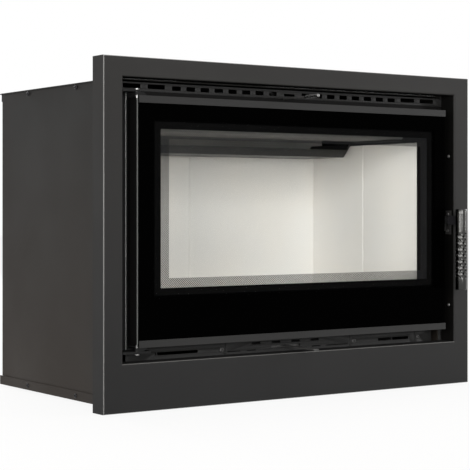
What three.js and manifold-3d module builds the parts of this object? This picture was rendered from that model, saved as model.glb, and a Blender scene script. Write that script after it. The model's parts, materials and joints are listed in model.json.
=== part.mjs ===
// A wood-burning fireplace insert: a folded steel surround on a convection casing, a lined firebox,
// a glazed door with a perforated handle, and two air controls.
// Millimetres, +Z up, the front faces -Y. The origin is the centre of the base, on the surface it stands on.
import * as THREE from "three";
import { mergeVertices } from "three/addons/utils/BufferGeometryUtils.js";
import Module from "manifold-3d";

const wasm = await Module();
wasm.setup();

// ---------------------------------------------------------------- driving dimensions

const gap = 0.3; // clearance between pieces that touch
const overcut = 1; // how far a cutting solid runs past what it cuts

// Surround frame, a folded channel
const frameWidth = 800;
const frameHeight = 580;
const frameDepth = 36;
const frameSheet = 2;
const frameSideBorder = 36;
const frameTopBorder = 33;
const frameBottomBorder = 80;

// Casing, the outer convection jacket
const insertDepth = 460; // from the surround's face to the rear lips
const casingClearance = 4; // casing side inside the surround's opening
const casingSheet = 1.5;
const rearLipReach = 7; // lid and pan beyond the side panels
const lidSkirt = 15;
const panSideLip = 20;
const panRearLip = 15;
const lidThickness = 2;
const backFlange = 12;
const skidThickness = 3.2;
const skidInset = 20; // skid edge inside the casing side
const skidLength = 337;

// Front plate and firebox
const plateThickness = 4;
const convectionGap = 22.7; // firebox shell to the casing sides
const mouthBottom = 165;
const mouthBelowShell = 20;
const linerThickness = 24.7;
const shellThickness = 4;
const fireboxDepth = 321; // front plate to the face of the back liners
const shellBelowLid = 41;
const floorPlate = 19.7;
const sideLinerBelowShell = 47;
const backLinerBelowShell = 24;
const sideLinerSplit = 159; // depth of the front side liners
const boardChamfer = 2;

// Grate and ash pan
const grateWidth = 190;
const grateDepth = 160;
const grateFromMouth = 94;
const grateRim = 12;
const grateBar = 7;
const grateSlot = 9;
const pitDepth = 45;
const pitPortSill = 6; // the port's lower edge above the pit's floor
const pitPortHead = 4;
const pitSheet = 2;
const panSheet = 1.2;
const panClearance = 4;

// Baffles and log guard
const baffleSheet = 3;
const lowerBaffleDepth = 126;
const lowerBaffleDrop = 23.5; // tray floor below the side liners' top
const lowerBaffleLip = 15;
const baffleEndSlope = 17;
const upperBaffleDepth = 125;
const upperBaffleFromMouth = 60;
const upperBaffleThickness = 20;
const baffleBracketHeight = 8;
const logGuardHeight = 28;
const logGuardThickness = 4;
const logGuardSetback = 10;
const logGuardFoot = 12;
const logGuardEndGap = 2;
const logGuardSlots = 9;
const logGuardSlotShare = 0.6; // of the pitch
const logGuardSlotHeight = 8.4;
const logGuardSlotRise = 16.8;

// Flue
const flueOuterRadius = 89;
const flueWall = 4;
const flueFlangeReach = 16;
const flueFlangeHeight = 5;
const flueFillet = 2;
const flueFromFront = 250;
const flueRise = 45; // above the lid
const flueLidClearance = 5;

// Door
const hingeFromJamb = 28;
const hingeFromFace = 3;
const doorSideSetback = 0.5; // door side to the hinge axis
const latchReveal = 26.5; // door side to the opening's jamb
const doorAboveLedge = 24.8;
const doorBelowTop = 29.8;
const doorSheet = 2;
const railSheet = 1.5;
const railHeight = 11.8;
const railBite = 7; // how far a rail covers the glass
const railOverhang = 0.4;
const glassThickness = 4;
const glassLeftOverhang = 1.5;
const glassRightSetback = 0.3;
const windowLeftBorder = 46.5;
const windowRightBorder = 42.5;
const windowBottomBorder = 96.2;
const windowTopBorder = 53.5;
const windowReveal = 6; // door tunnel outside the printed window
const gasketWidth = 10;
const gasketThickness = 2.7;
const gasketFromMouth = 11;

// Hinges
const pinRadius = 2.5;
const pinHeadRadius = 4;
const pinHeadHeight = 2.8;
const pinHeadTaper = 0.7;
const pinClearance = 0.6;
const lugRadius = 4;
const lugLength = 16;
const lugHeight = 5.1;
const lugTip = 1;
const upperBracketThickness = 3;
const lowerBracketThickness = 4;
const upperBracketEnd = 6; // past the hinge axis
const lowerBracketEnd = 26;
const hingePostWidth = 18;
const hingePostDepth = 5;
const hingePostSheet = 2;
const hingePostGap = 2.1; // post to the door side

// Handle and latch
const tubeRadius = 10.5;
const tubeWall = 1.5;
const tubeFacets = 20;
const tubeLength = 151;
const tubeAboveAxis = 21;
const tubeFromFace = 32;
const tubeRingDrop = 10;
const tubeRingDepth = 0.5;
const tubeRingWidth = 1.2;
const perforationRadius = 2.3;
const perforationRows = 15;
const perforationPitch = 5.75;
const perforationTop = 45.6; // top row below the tube's upper end
const perforationsPerRow = 5;
const tubeDisc = 3;
const tubeEdge = 0.8;
const latchBelowMiddle = 1; // of the door
const latchToJamb = 13;
const armHeight = 17;
const armThickness = 6;
const armChamfer = 2;
const shaftRadius = 4;
const bushRadius = 7.7;
const bushClearance = 0.4;
const bushFromFace = 2.4;
const bushLength = 14;
const bushChamfer = 1;
const tongueReach = 10;
const tongueHeight = 8;
const tongueThickness = 4;
const tongueFromFace = 23.6;
const keeperSheet = 1.8;
const keeperHeight = 45;
const keeperDepth = 14.6;
const keeperTongueGap = 1;
const keeperDrop = 27; // lower end below the latch axis
const fingerReach = 5;
const fingerHeight = 15;
const fingerBelowAxis = 6;
const fingerThickness = 2.3;

// Grille strips
const stripSheet = 1.6;
const grilleAboveDoor = 9.8;
const grilleBelowLid = 5;
const grilleSlotHeight = 6.4;
const grilleLongSlot = 34;
const grilleLongPitch = 48;
const grilleFirstLong = 38; // centre of the first long slot from the opening's side
const grilleShortSlot = 18;
const grilleShortPitch = 28.8;
const grilleFirstShort = 126; // centre of the first short slot from the opening's side
const grilleCentreSlot = 24;
const grilleCentreHeight = 4.4;
const grilleLip = 14; // folded back from the strip's top
const lowerStripTopGap = 4.1; // below the door
const lowerStripHeight = 34.7;
const centreStripWidth = 276;
const stripScrewInset = 8; // from the middle strip's end
const sideSlotLength = 74;
const sideSlotHeight = 5;
const stripEndRecess = 26; // strip's end to the jamb
const sideSlotShift = 4.85; // from the strip's middle towards the jamb
const sideSlotDrop = 11.7; // below the strip's top
const hitSlotLength = 19;
const hitSlotHeight = 3;
const hitSlotPitch = 43.2;
const hitSlotDrop = 3.7;
const longSlotEndGap = 9; // to the middle strip's ends
const longSlotHeight = 1.4;
const longSlotDrop = 16;

// Air controls
const leverFromCentre = -8;
const leverWidth = 12;
const leverThickness = 2;
const leverBelowStripTop = 12.2;
const leverForward = 55; // past the surround's face
const leverTravel = 25; // each way
const leverSlotClearance = 1;
const slideLength = 190;
const slideHeight = 20;
const slideThickness = 1.5;
const slideBelowLever = 4;
const portWidth = 22;
const portHeight = 9;
const portPitch = 48;
const portDrop = 3; // below the slide's middle
const portCount = 4;
const airBoxWidth = 300;
const airBoxHeight = 70;
const guideLip = 3;
const guideLipSheet = 1;
const rodRadius = 1.8;
const rodFromCentre = -12;
const rodAboveDoor = 9.3;
const rodTravel = 35;
const gripRadius = 2.9;
const gripLength = 39;
const gripForward = 64;
const gripRibs = 11;
const gripRibDepth = 0.5;
const gripRibSlope = 0.3; // of the pitch
const rodHoleClearance = 0.8;
const valveRadius = 16;
const valveThickness = 2;
const valveFromPlate = 42;
const valvePortRadius = 12;
const valveBoxWidth = 96;
const valveBoxDepth = 24;
const valveBoxClearance = 1;
const valveBoxSheet = 1.5;
const guideHeight = 8;
const guideWidth = 24;
const guideSheet = 2;
const guideFromPlate = 20;

// Stands, clips and screws
const standWidth = 40;
const standSheet = 3;
const standInset = 34; // from the shell's side
const standSetback = 22;
const standLength = 320;
const clipFromBase = 50;
const clipBelowLid = 1;
const clipSheet = 2;
const clipReach = 46;
const clipSetback = 6;
const frameScrewInset = 148.5; // from the surround's lower and upper ends
const frameScrewFromFace = 16;
const casingScrewDepths = [166, 346];
const casingScrewDrop = 7; // below the casing's top
const casingScrewLift = 11.5;
const keeperScrewOffsets = [-20, 11];
const screwRadius = 2;
const screwClearance = 0.5;
const roundSides = 12;

// ---------------------------------------------------------------- places derived from them

const yFront = -insertDepth / 2;
const yRear = insertDepth / 2;
const yPlate = yFront + frameDepth + gap; // front plane of the body behind the surround
const yPlateBack = yPlate + plateThickness;
const openingHalf = frameWidth / 2 - frameSideBorder;
const openingTop = frameHeight - frameTopBorder;
const openingBottom = frameBottomBorder;
const casingHalf = openingHalf - casingClearance;
const panelOuter = casingHalf - casingSheet - gap;
const panelInner = panelOuter - casingSheet;
const skirtOuter = panelInner - gap;
const skirtInner = skirtOuter - casingSheet;
const yPanelFront = yPlateBack + gap;
const yPanelRear = yRear - rearLipReach;
const bodyHalf = openingHalf + frameSheet; // the front plate and the grille reach behind the return

const panFloor = skidThickness + gap;
const panFloorTop = panFloor + casingSheet;
const lidBottom = openingTop - lidThickness;

const doorBottom = openingBottom + doorAboveLedge;
const doorTop = openingTop - doorBelowTop;
const hingeX = -openingHalf + hingeFromJamb;
const hingeY = yFront + hingeFromFace;
const doorLeft = hingeX + doorSideSetback;
const doorRight = openingHalf - latchReveal;
const railLeft = doorLeft;
const railRight = doorRight + railOverhang;
const windowLeft = doorLeft + windowLeftBorder;
const windowRight = doorRight - windowRightBorder;
const windowBottom = doorBottom + windowBottomBorder;
const windowTop = doorTop - windowTopBorder;
const yGlass = yFront - glassThickness / 2;
const yGlassBack = yGlass + glassThickness;
const yRailFront = yGlass - gap - railSheet;
const yDoorFrame = yGlassBack + gap;
const yDoorBack = yPlate - gap - gasketThickness - gap;
const yBackPlate = yDoorBack - doorSheet;
const doorFrameBottom = doorBottom + railSheet + gap;
const doorFrameTop = doorTop - railSheet - gap;

const shellOuter = panelInner - convectionGap;
const shellInner = shellOuter - shellThickness;
const mouthHalf = shellInner - gap - linerThickness;
const shellTop = lidBottom - shellBelowLid;
const mouthTop = shellTop - mouthBelowShell;
const sideLinerTop = shellTop - sideLinerBelowShell;
const backLinerTop = shellTop - backLinerBelowShell;
const yShell = yPlateBack + gap;
const yBackLiner = yPlateBack + fireboxDepth;
const yShellBack = yBackLiner + linerThickness + gap;
const floorTop = mouthBottom;
const shellFloorTop = floorTop - floorPlate - gap;
const shellFloor = shellFloorTop - shellThickness;
const grateHalf = grateWidth / 2;
const yGrate = yPlateBack + grateFromMouth;
const yGrateBack = yGrate + grateDepth;
const pitHalf = grateHalf - pitSheet - gap;
const pitBottom = shellFloor - pitDepth;

const stripTop = doorBottom - lowerStripTopGap;
const stripBottom = stripTop - lowerStripHeight;
const grilleBottom = doorTop + grilleAboveDoor;
const grilleTop = openingTop - grilleBelowLid;

const latchAxisHeight = (doorBottom + doorTop) / 2 - latchBelowMiddle;
const tubeTop = latchAxisHeight + tubeAboveAxis;
const tubeBottom = tubeTop - tubeLength;
const latchX = openingHalf - latchToJamb;
const latchY = yFront - tubeFromFace;
const rodHeight = doorTop + rodAboveDoor;
const leverTop = stripTop - leverBelowStripTop + leverThickness / 2;
const leverHeight = leverTop - leverThickness / 2;
const yFlue = yFront + flueFromFront;
const flueTop = openingTop + flueRise;
const frameScrewHeights = [frameScrewInset, frameHeight - frameScrewInset];

// ---------------------------------------------------------------- solids

// A closed three.js geometry as a solid that can be joined and cut.
function solidOf(geometry) {
  const bare = geometry.clone();
  bare.deleteAttribute("normal");
  bare.deleteAttribute("uv");
  const merged = mergeVertices(bare, 1e-4);
  const triVerts = new Uint32Array(merged.index.array);
  const vertProperties = merged.attributes.position.array;
  return new wasm.Manifold(new wasm.Mesh({ numProp: 3, vertProperties, triVerts }));
}

// A solid back as a three.js geometry.
function geometryOf(solid) {
  const { vertProperties, triVerts } = solid.getMesh();
  const geometry = new THREE.BufferGeometry();
  geometry.setAttribute("position", new THREE.BufferAttribute(vertProperties, 3));
  geometry.setIndex(new THREE.BufferAttribute(triVerts, 1));
  const faceted = geometry.toNonIndexed();
  faceted.computeVertexNormals();
  return faceted;
}

function join(...solids) {
  return solids.reduce((whole, solid) => whole.add(solid));
}

function cut(solid, ...tools) {
  return tools.reduce((rest, tool) => rest.subtract(tool), solid);
}

// The plane of an outline and the direction of its extrusion, for each axis:
// "x" takes (y, z) outlines, "y" takes (x, z) outlines and "z" takes (x, y) outlines.
const along = {
  x: [new THREE.Vector3(0, 1, 0), new THREE.Vector3(0, 0, 1), new THREE.Vector3(1, 0, 0)],
  y: [new THREE.Vector3(1, 0, 0), new THREE.Vector3(0, 0, 1), new THREE.Vector3(0, -1, 0)],
  z: [new THREE.Vector3(1, 0, 0), new THREE.Vector3(0, 1, 0), new THREE.Vector3(0, 0, 1)],
};

// An outline made solid between two places on an axis.
function extrude(outline, axis, from, to, curveSegments = 2) {
  const geometry = new THREE.ExtrudeGeometry(outline, {
    depth: to - from,
    bevelEnabled: false,
    curveSegments,
  });
  const [right, up, out] = along[axis];
  geometry.applyMatrix4(new THREE.Matrix4().makeBasis(right, up, out));
  const start = axis === "y" ? to : from;
  geometry.translate(...out.clone().multiplyScalar(axis === "y" ? -start : start).toArray());
  return solidOf(geometry);
}

function rectangle(u0, u1, v0, v1) {
  const outline = new THREE.Shape();
  outline.moveTo(u0, v0);
  outline.lineTo(u1, v0);
  outline.lineTo(u1, v1);
  outline.lineTo(u0, v1);
  outline.closePath();
  return outline;
}

// A slot with round ends, lying along the outline's first direction.
function slotOutline(u, v, length, height) {
  const end = height / 2;
  const straight = length / 2 - end;
  const outline = new THREE.Shape();
  outline.absarc(u + straight, v, end, -Math.PI / 2, Math.PI / 2, false);
  outline.absarc(u - straight, v, end, Math.PI / 2, (3 * Math.PI) / 2, false);
  outline.closePath();
  return outline;
}

function polygon(points) {
  const outline = new THREE.Shape();
  points.forEach(([u, v], i) => (i ? outline.lineTo(u, v) : outline.moveTo(u, v)));
  outline.closePath();
  return outline;
}

function box(x0, x1, y0, y1, z0, z1) {
  return extrude(rectangle(x0, x1, y0, y1), "z", z0, z1);
}

// A rectangular ring: an outline with an inner one left out.
function ring(outer, inner) {
  const outline = rectangle(...outer);
  outline.holes.push(rectangle(...inner));
  return outline;
}

// The outline of a sheet folded along a path, its thickness on the path's left.
function foldedSheet(path, thickness) {
  const points = path.map(([u, v]) => new THREE.Vector2(u, v));
  const normals = points.slice(1).map((p, i) => {
    const run = p.clone().sub(points[i]).normalize();
    return new THREE.Vector2(-run.y, run.x);
  });
  const inner = points.map((p, i) => {
    const before = normals[Math.max(i - 1, 0)];
    const after = normals[Math.min(i, normals.length - 1)];
    const mitre = before.clone().add(after).normalize();
    return p.clone().addScaledVector(mitre, thickness / mitre.dot(after));
  });
  return polygon([...points, ...inner.reverse()].map((p) => [p.x, p.y]));
}

// A closed round body about an axis through (u, v), from its profile of [radius, place] pairs.
function turned(profile, axis, u, v, sides = roundSides) {
  const points = profile.map(([radius, place]) => new THREE.Vector2(radius, place));
  const first = points[0];
  const last = points[points.length - 1];
  if (first.x > 0 || last.x > 0) {
    points.push(first.clone());
  }
  const geometry = new THREE.LatheGeometry(points, sides);
  geometry.rotateY(Math.PI / sides);
  if (axis === "z") {
    geometry.rotateX(Math.PI / 2);
    geometry.translate(u, v, 0);
  }
  if (axis === "x") {
    geometry.rotateZ(-Math.PI / 2);
    geometry.translate(0, u, v);
  }
  if (axis === "y") {
    geometry.translate(u, 0, v);
  }
  return solidOf(geometry);
}

function rod(radius, axis, u, v, from, to, sides = roundSides) {
  return turned([[0, from], [radius, from], [radius, to], [0, to]], axis, u, v, sides);
}

function screwHole(axis, u, v, from, to) {
  return rod(screwRadius + screwClearance, axis, u, v, from, to);
}

// A round hole through a plate's outline, its flats outside the wanted radius.
function holeOutline(u, v, radius) {
  const outline = new THREE.Path();
  outline.absarc(u, v, radius, 0, 2 * Math.PI, false);
  return outline;
}

// ---------------------------------------------------------------- materials and pieces

const finishes = {
  blackSteel: { color: 0x3b3836, roughness: 0.62, metalness: 0.35 },
  bareSteel: { color: 0x4a4644, roughness: 0.5, metalness: 0.6 },
  brightSteel: { color: 0xb9b6b0, roughness: 0.3, metalness: 0.95 },
  castIron: { color: 0x2a2928, roughness: 0.75, metalness: 0.3 },
  vermiculite: { color: 0xd9d2c4, roughness: 0.95, metalness: 0 },
  glass: { color: 0x101010, roughness: 0.08, metalness: 0 },
  rope: { color: 0x2e2e2e, roughness: 1, metalness: 0 },
};

const insert = new THREE.Group();
const bodies = {};
for (const name of ["body", "door", "latch", "primaryAir", "secondaryAir"]) {
  bodies[name] = new THREE.Group();
}
insert.add(bodies.body, bodies.door, bodies.primaryAir, bodies.secondaryAir);
bodies.door.add(bodies.latch);

function piece(body, name, finish, ...solids) {
  const mesh = new THREE.Mesh(geometryOf(join(...solids)), new THREE.MeshStandardMaterial(finishes[finish]));
  mesh.name = name;
  bodies[body].add(mesh);
}

const sides = [-1, 1];

// ---------------------------------------------------------------- surround frame

function surroundFrame() {
  const half = frameWidth / 2;
  const outer = [-half, half, 0, frameHeight];
  const inner = [-openingHalf, openingHalf, openingBottom, openingTop];
  const yBack = yFront + frameDepth;
  const s = frameSheet;
  const face = extrude(ring(outer, inner), "y", yFront, yFront + s);
  const flange = ring(outer, [-half + s, half - s, s, frameHeight - s]);
  const inset = [-openingHalf - s, openingHalf + s, openingBottom - s, openingTop + s];
  const outerFlange = extrude(flange, "y", yFront, yBack);
  const innerReturn = extrude(ring(inset, inner), "y", yFront, yBack);
  const holes = sides.flatMap((side) =>
    frameScrewHeights.map((z) => {
      const x = side * (openingHalf + s / 2);
      return screwHole("x", yFront + frameScrewFromFace, z, x - s, x + s);
    }),
  );
  const keeperHoles = keeperScrewOffsets.map((dz) =>
    screwHole("x", yFront + frameScrewFromFace, latchAxisHeight + dz, openingHalf - s, openingHalf + 2 * s),
  );
  const channel = join(face, outerFlange, innerReturn);
  piece("body", "surround_frame", "blackSteel", cut(channel, ...holes, ...keeperHoles));
}

// Joggled clips hold the surround's inner return to the casing sides.
function frameClips() {
  const xFrame = openingHalf + frameSheet + gap;
  const xCasing = panelOuter + gap;
  const y0 = yFront + clipSetback;
  const yBend = yPlateBack + gap;
  const joggle = xFrame - xCasing;
  const path = [
    [xFrame, y0],
    [xFrame, yBend],
    [xCasing, yBend + joggle],
    [xCasing, yBend + joggle + clipReach],
  ];
  for (const side of sides) {
    const mirrored = path.map(([x, y]) => [side * x, y]);
    const clip = extrude(foldedSheet(mirrored, -side * clipSheet), "z", clipFromBase, lidBottom - clipBelowLid);
    const x = side * xFrame;
    const holes = frameScrewHeights.map((z) =>
      screwHole("x", yFront + frameScrewFromFace, z, x - 2 * clipSheet, x + 2 * clipSheet),
    );
    piece("body", side < 0 ? "frame_clip_left" : "frame_clip_right", "bareSteel", cut(clip, ...holes));
  }
}

// ---------------------------------------------------------------- casing

function casingSides() {
  for (const side of sides) {
    const x0 = Math.min(side * panelInner, side * panelOuter);
    const panel = extrude(
      rectangle(yPanelFront, yPanelRear, panFloorTop + gap, lidBottom - gap),
      "x",
      x0,
      x0 + casingSheet,
    );
    const holes = casingScrewDepths.flatMap((depth) =>
      [openingTop - casingScrewDrop, casingScrewLift].map((z) =>
        screwHole("x", yFront + depth, z, x0 - casingSheet, x0 + 2 * casingSheet),
      ),
    );
    piece("body", side < 0 ? "casing_left_side" : "casing_right_side", "blackSteel", cut(panel, ...holes));
  }
}

function casingTop() {
  const lid = rectangle(-casingHalf, casingHalf, yPlate, yRear);
  lid.holes.push(holeOutline(0, yFlue, flueOuterRadius + flueLidClearance));
  const plate = extrude(lid, "z", lidBottom, openingTop, 16);
  const skirtBottom = openingTop - lidSkirt;
  const skirts = sides.map((side) => {
    const x0 = Math.min(side * skirtInner, side * skirtOuter);
    return box(x0, x0 + casingSheet, yPanelFront, yRear, skirtBottom, openingTop);
  });
  const rear = box(-skirtOuter, skirtOuter, yRear - casingSheet, yRear, skirtBottom, openingTop);
  const holes = sides.flatMap((side) =>
    casingScrewDepths.map((depth) => {
      const x = side * skirtOuter;
      const z = openingTop - casingScrewDrop;
      return screwHole("x", yFront + depth, z, x - 2 * casingSheet, x + 2 * casingSheet);
    }),
  );
  piece("body", "casing_top", "blackSteel", cut(join(plate, ...skirts, rear), ...holes));
}

function casingBack() {
  const half = skirtInner - gap;
  const path = [
    [-half, yPanelRear - backFlange],
    [-half, yPanelRear],
    [half, yPanelRear],
    [half, yPanelRear - backFlange],
  ];
  const panel = extrude(foldedSheet(path, -casingSheet), "z", panFloorTop + gap, lidBottom - gap);
  piece("body", "casing_back", "blackSteel", panel);
}

function basePan() {
  const floor = box(-casingHalf, casingHalf, yPlate, yRear, panFloor, panFloorTop);
  const lips = sides.map((side) => {
    const x0 = Math.min(side * casingHalf, side * (casingHalf - casingSheet));
    return box(x0, x0 + casingSheet, yPlate, yRear, panFloor, panSideLip);
  });
  const rear = box(-casingHalf, casingHalf, yRear - casingSheet, yRear, panFloor, panRearLip);
  const front = box(-casingHalf, casingHalf, yPlate, yPlate + casingSheet, panFloor, panSideLip);
  const holes = sides.flatMap((side) =>
    casingScrewDepths.map((depth) => {
      const x = side * casingHalf;
      return screwHole("x", yFront + depth, casingScrewLift, x - 2 * casingSheet, x + 2 * casingSheet);
    }),
  );
  piece("body", "base_pan", "blackSteel", cut(join(floor, ...lips, rear, front), ...holes));
  const skidHalf = casingHalf - skidInset;
  const skid = box(-skidHalf, skidHalf, yPlate, yPlate + skidLength, 0, skidThickness);
  piece("body", "base_skid", "blackSteel", skid);
}

// ---------------------------------------------------------------- front plate and grille strips

function frontPlate() {
  const outer = [-bodyHalf, bodyHalf, stripTop + gap, grilleBottom - gap];
  const plate = extrude(ring(outer, [-mouthHalf, mouthHalf, mouthBottom, mouthTop]), "y", yPlate, yPlateBack);
  piece("body", "front_plate", "blackSteel", cut(plate, rodPassage(yPlateBack)));
}

// The secondary air rod passes between the front plate and the upper strip.
function rodPassage(yBack) {
  return rod(rodRadius + rodHoleClearance, "y", rodFromCentre, rodHeight, yPlate - overcut, yBack + overcut);
}

// The upper strip lets the warm convection air out through rows of slots. A tab at each end closes the
// corner beside the lid.
function upperGrille() {
  const zSlot = (grilleBottom + grilleTop) / 2;
  const outline = rectangle(-bodyHalf, bodyHalf, grilleBottom, grilleTop);
  const shortRoom = openingHalf - grilleFirstShort - grilleCentreSlot;
  const shortCount = Math.floor(shortRoom / grilleShortPitch) + 1;
  for (const side of sides) {
    for (const n of [0, 1]) {
      const u = side * (openingHalf - grilleFirstLong - n * grilleLongPitch);
      outline.holes.push(slotOutline(u, zSlot, grilleLongSlot, grilleSlotHeight));
    }
    for (let n = 0; n < shortCount; n += 1) {
      const u = side * (openingHalf - grilleFirstShort - n * grilleShortPitch);
      outline.holes.push(slotOutline(u, zSlot, grilleShortSlot, grilleSlotHeight));
    }
  }
  const strip = extrude(outline, "y", yPlate, yPlate + stripSheet);
  const lipHalf = skirtInner - gap;
  const lip = box(-lipHalf, lipHalf, yPlate, yPlate + grilleLip, grilleTop - stripSheet, grilleTop);
  const tabs = sides.map((side) => {
    const x0 = Math.min(side * bodyHalf, side * (casingHalf + gap));
    return box(x0, x0 + bodyHalf - casingHalf - gap, yPlate, yPlate + stripSheet, grilleBottom, openingTop);
  });
  const zCentre = rodHeight + rodRadius + rodHoleClearance + grilleCentreHeight;
  const centre = extrude(
    slotOutline(0, zCentre, grilleCentreSlot, grilleCentreHeight),
    "y",
    yPlate - overcut,
    yPlate + 2 * stripSheet,
  );
  piece("body", "upper_grille", "blackSteel", cut(join(strip, lip, ...tabs), rodPassage(yPlate + stripSheet), centre));
}

// The lower strip is in three lengths. Its middle one is the cover of the primary air control.
function lowerStrips() {
  const centreHalf = centreStripWidth / 2;
  const yBack = yPlate + stripSheet;
  for (const side of sides) {
    const inner = side * (centreHalf + gap);
    const outer = side * (openingHalf - stripEndRecess);
    const outline = rectangle(Math.min(inner, outer), Math.max(inner, outer), stripBottom, stripTop);
    const u = (inner + outer) / 2 + side * sideSlotShift;
    outline.holes.push(slotOutline(u, stripTop - sideSlotDrop, sideSlotLength, sideSlotHeight));
    const strip = extrude(outline, "y", yPlate, yBack);
    const x = side * (centreHalf + stripScrewInset);
    const hole = screwHole("y", x, stripTop - sideSlotDrop, yPlate - overcut, yBack + overcut);
    piece("body", side < 0 ? "lower_strip_left" : "lower_strip_right", "blackSteel", cut(strip, hole));
  }
  const outline = rectangle(-centreHalf, centreHalf, stripBottom, stripTop);
  for (let n = 0; n < portCount; n += 1) {
    const u = leverFromCentre + (n - (portCount - 1) / 2) * hitSlotPitch;
    outline.holes.push(slotOutline(u, stripTop - hitSlotDrop, hitSlotLength, hitSlotHeight));
  }
  const longSlotLength = centreStripWidth - 2 * longSlotEndGap;
  outline.holes.push(slotOutline(0, stripTop - longSlotDrop, longSlotLength, longSlotHeight));
  const leverSlot = leverWidth + 2 * (leverTravel + leverSlotClearance);
  const slotHeight = leverThickness + 2 * leverSlotClearance;
  outline.holes.push(
    rectangle(
      leverFromCentre - leverSlot / 2,
      leverFromCentre + leverSlot / 2,
      leverHeight - slotHeight / 2,
      leverHeight + slotHeight / 2,
    ),
  );
  piece("body", "lower_strip_centre", "blackSteel", extrude(outline, "y", yPlate, yBack));
}

// ---------------------------------------------------------------- firebox

function fireboxShell() {
  const x = shellOuter;
  const t = shellThickness;
  const outer = box(-x, x, yShell, yShellBack + t, shellFloor, shellTop);
  const hollow = box(-shellInner, shellInner, yShell - overcut, yShellBack, shellFloorTop, shellTop - t);
  const flueHole = rod(flueOuterRadius - flueWall, "z", 0, yFlue, shellTop - 2 * t, shellTop + t, 32);
  const pitHole = box(-pitHalf, pitHalf, yGrate + pitSheet, yGrateBack - pitSheet, shellFloor - t, floorTop);
  piece("body", "firebox_shell", "bareSteel", cut(outer, hollow, flueHole, pitHole));
}

// Vermiculite boards with a small chamfer round the face that shows.
function board(name, axis, outline, from, to, face, ...cuts) {
  const [u0, u1, v0, v1] = outline;
  const c = boardChamfer;
  const middle = extrude(rectangle(u0, u1, v0, v1), axis, from, to);
  const [edge, inward] = face > 0 ? [to, -1] : [from, 1];
  const above = edge - inward * overcut;
  const below = edge + inward * (c + overcut);
  const [right, up, out] = along[axis];
  const handed = axis === "y" ? -1 : 1;
  const at = (u, v, place) =>
    right.clone().multiplyScalar(u).addScaledVector(up, v).addScaledVector(out, handed * place);
  const wedges = [
    [u0, 1],
    [u1, -1],
  ].map(([u, du]) =>
    prism(
      [v0 - overcut, v1 + overcut].flatMap((v) => [
        at(u - du * overcut, v, above),
        at(u - du * overcut, v, below),
        at(u + du * (c + overcut), v, above),
      ]),
    ),
  );
  piece("body", name, "vermiculite", cut(middle, ...wedges, ...cuts));
}

// A three-sided prism from the corners of its two ends.
function prism(corners) {
  const faces = [0, 2, 1, 3, 4, 5, 0, 1, 4, 0, 4, 3, 1, 2, 5, 1, 5, 4, 2, 0, 3, 2, 3, 5];
  const geometry = new THREE.BufferGeometry();
  geometry.setAttribute("position", new THREE.Float32BufferAttribute(corners.flatMap((p) => p.toArray()), 3));
  const [a, b, c, d] = corners;
  const handed = b.clone().sub(a).cross(c.clone().sub(a)).dot(d.clone().sub(a));
  geometry.setIndex(handed > 0 ? faces : faces.reverse());
  return solidOf(geometry.toNonIndexed());
}

function liners() {
  const z0 = shellFloorTop + gap;
  const y0 = yShell + gap;
  const ySplit = y0 + sideLinerSplit;
  const yEnd = yBackLiner - gap;
  const wall = mouthHalf + linerThickness;
  for (const side of sides) {
    const hand = side < 0 ? "left" : "right";
    const from = Math.min(side * mouthHalf, side * wall);
    const to = from + linerThickness;
    board(`side_liner_${hand}_front`, "x", [y0, ySplit - gap / 2, z0, sideLinerTop], from, to, -side);
    board(`side_liner_${hand}_rear`, "x", [ySplit + gap / 2, yEnd, z0, sideLinerTop], from, to, -side);
    const x0 = side < 0 ? -wall : gap / 2;
    const x1 = side < 0 ? -gap / 2 : wall;
    board(`back_liner_${hand}`, "y", [x0, x1, z0, backLinerTop], yBackLiner, yBackLiner + linerThickness, -1);
    const inner = (side * gap) / 2;
    const outer = side * (mouthHalf - gap);
    const left = Math.min(inner, outer);
    const right = Math.max(inner, outer);
    const roomHalf = grateHalf + gap;
    const room = box(-roomHalf, roomHalf, yGrate - gap, yGrateBack + gap, z0 - overcut, floorTop + overcut);
    board(`floor_plate_${hand}`, "z", [left, right, y0, yEnd], z0, floorTop, 1, room);
  }
}

// A cast grate: a rim with bars across it, and slots between them for the ash to fall through.
function grate() {
  const z0 = shellFloorTop + gap;
  const outline = rectangle(-grateHalf, grateHalf, yGrate, yGrateBack);
  const innerHalf = grateHalf - grateRim;
  const room = grateDepth - 2 * grateRim;
  const count = Math.floor((room + grateBar) / (grateSlot + grateBar));
  const pitch = room / count;
  const slotLength = innerHalf - grateBar / 2;
  for (const side of sides) {
    for (let n = 0; n < count; n += 1) {
      const v = yGrate + grateRim + pitch * (n + 0.5);
      outline.holes.push(slotOutline(side * (slotLength + grateBar) / 2, v, slotLength, grateSlot));
    }
  }
  piece("body", "grate", "castIron", extrude(outline, "z", z0, floorTop));
}

// The open-topped pit under the grate and the ash pan that lifts out of it.
function ashPit() {
  const y0 = yGrate + pitSheet + gap;
  const y1 = yGrateBack - pitSheet - gap;
  const top = shellFloor - gap;
  const s = pitSheet;
  const outer = box(-pitHalf, pitHalf, y0, y1, pitBottom, top);
  const hollow = box(-pitHalf + s, pitHalf - s, y0 + s, y1 - s, pitBottom + s, top + overcut);
  const port = box(-portWidth, portWidth, y0 - s, y0 + 2 * s, pitBottom + pitPortSill, top - pitPortHead);
  piece("body", "ash_pit", "bareSteel", cut(outer, hollow, port));
  const c = panClearance;
  const p = panSheet;
  const panHalf = pitHalf - s - c;
  const panBottom = pitBottom + s + gap;
  const panTop = top - c;
  const shell = box(-panHalf, panHalf, y0 + s + c, y1 - s - c, panBottom, panTop);
  const insideHalf = panHalf - p;
  const inside = box(-insideHalf, insideHalf, y0 + s + c + p, y1 - s - c - p, panBottom + p, panTop + overcut);
  piece("body", "ash_pan", "bareSteel", cut(shell, inside));
}

// ---------------------------------------------------------------- baffles and log guard

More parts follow.
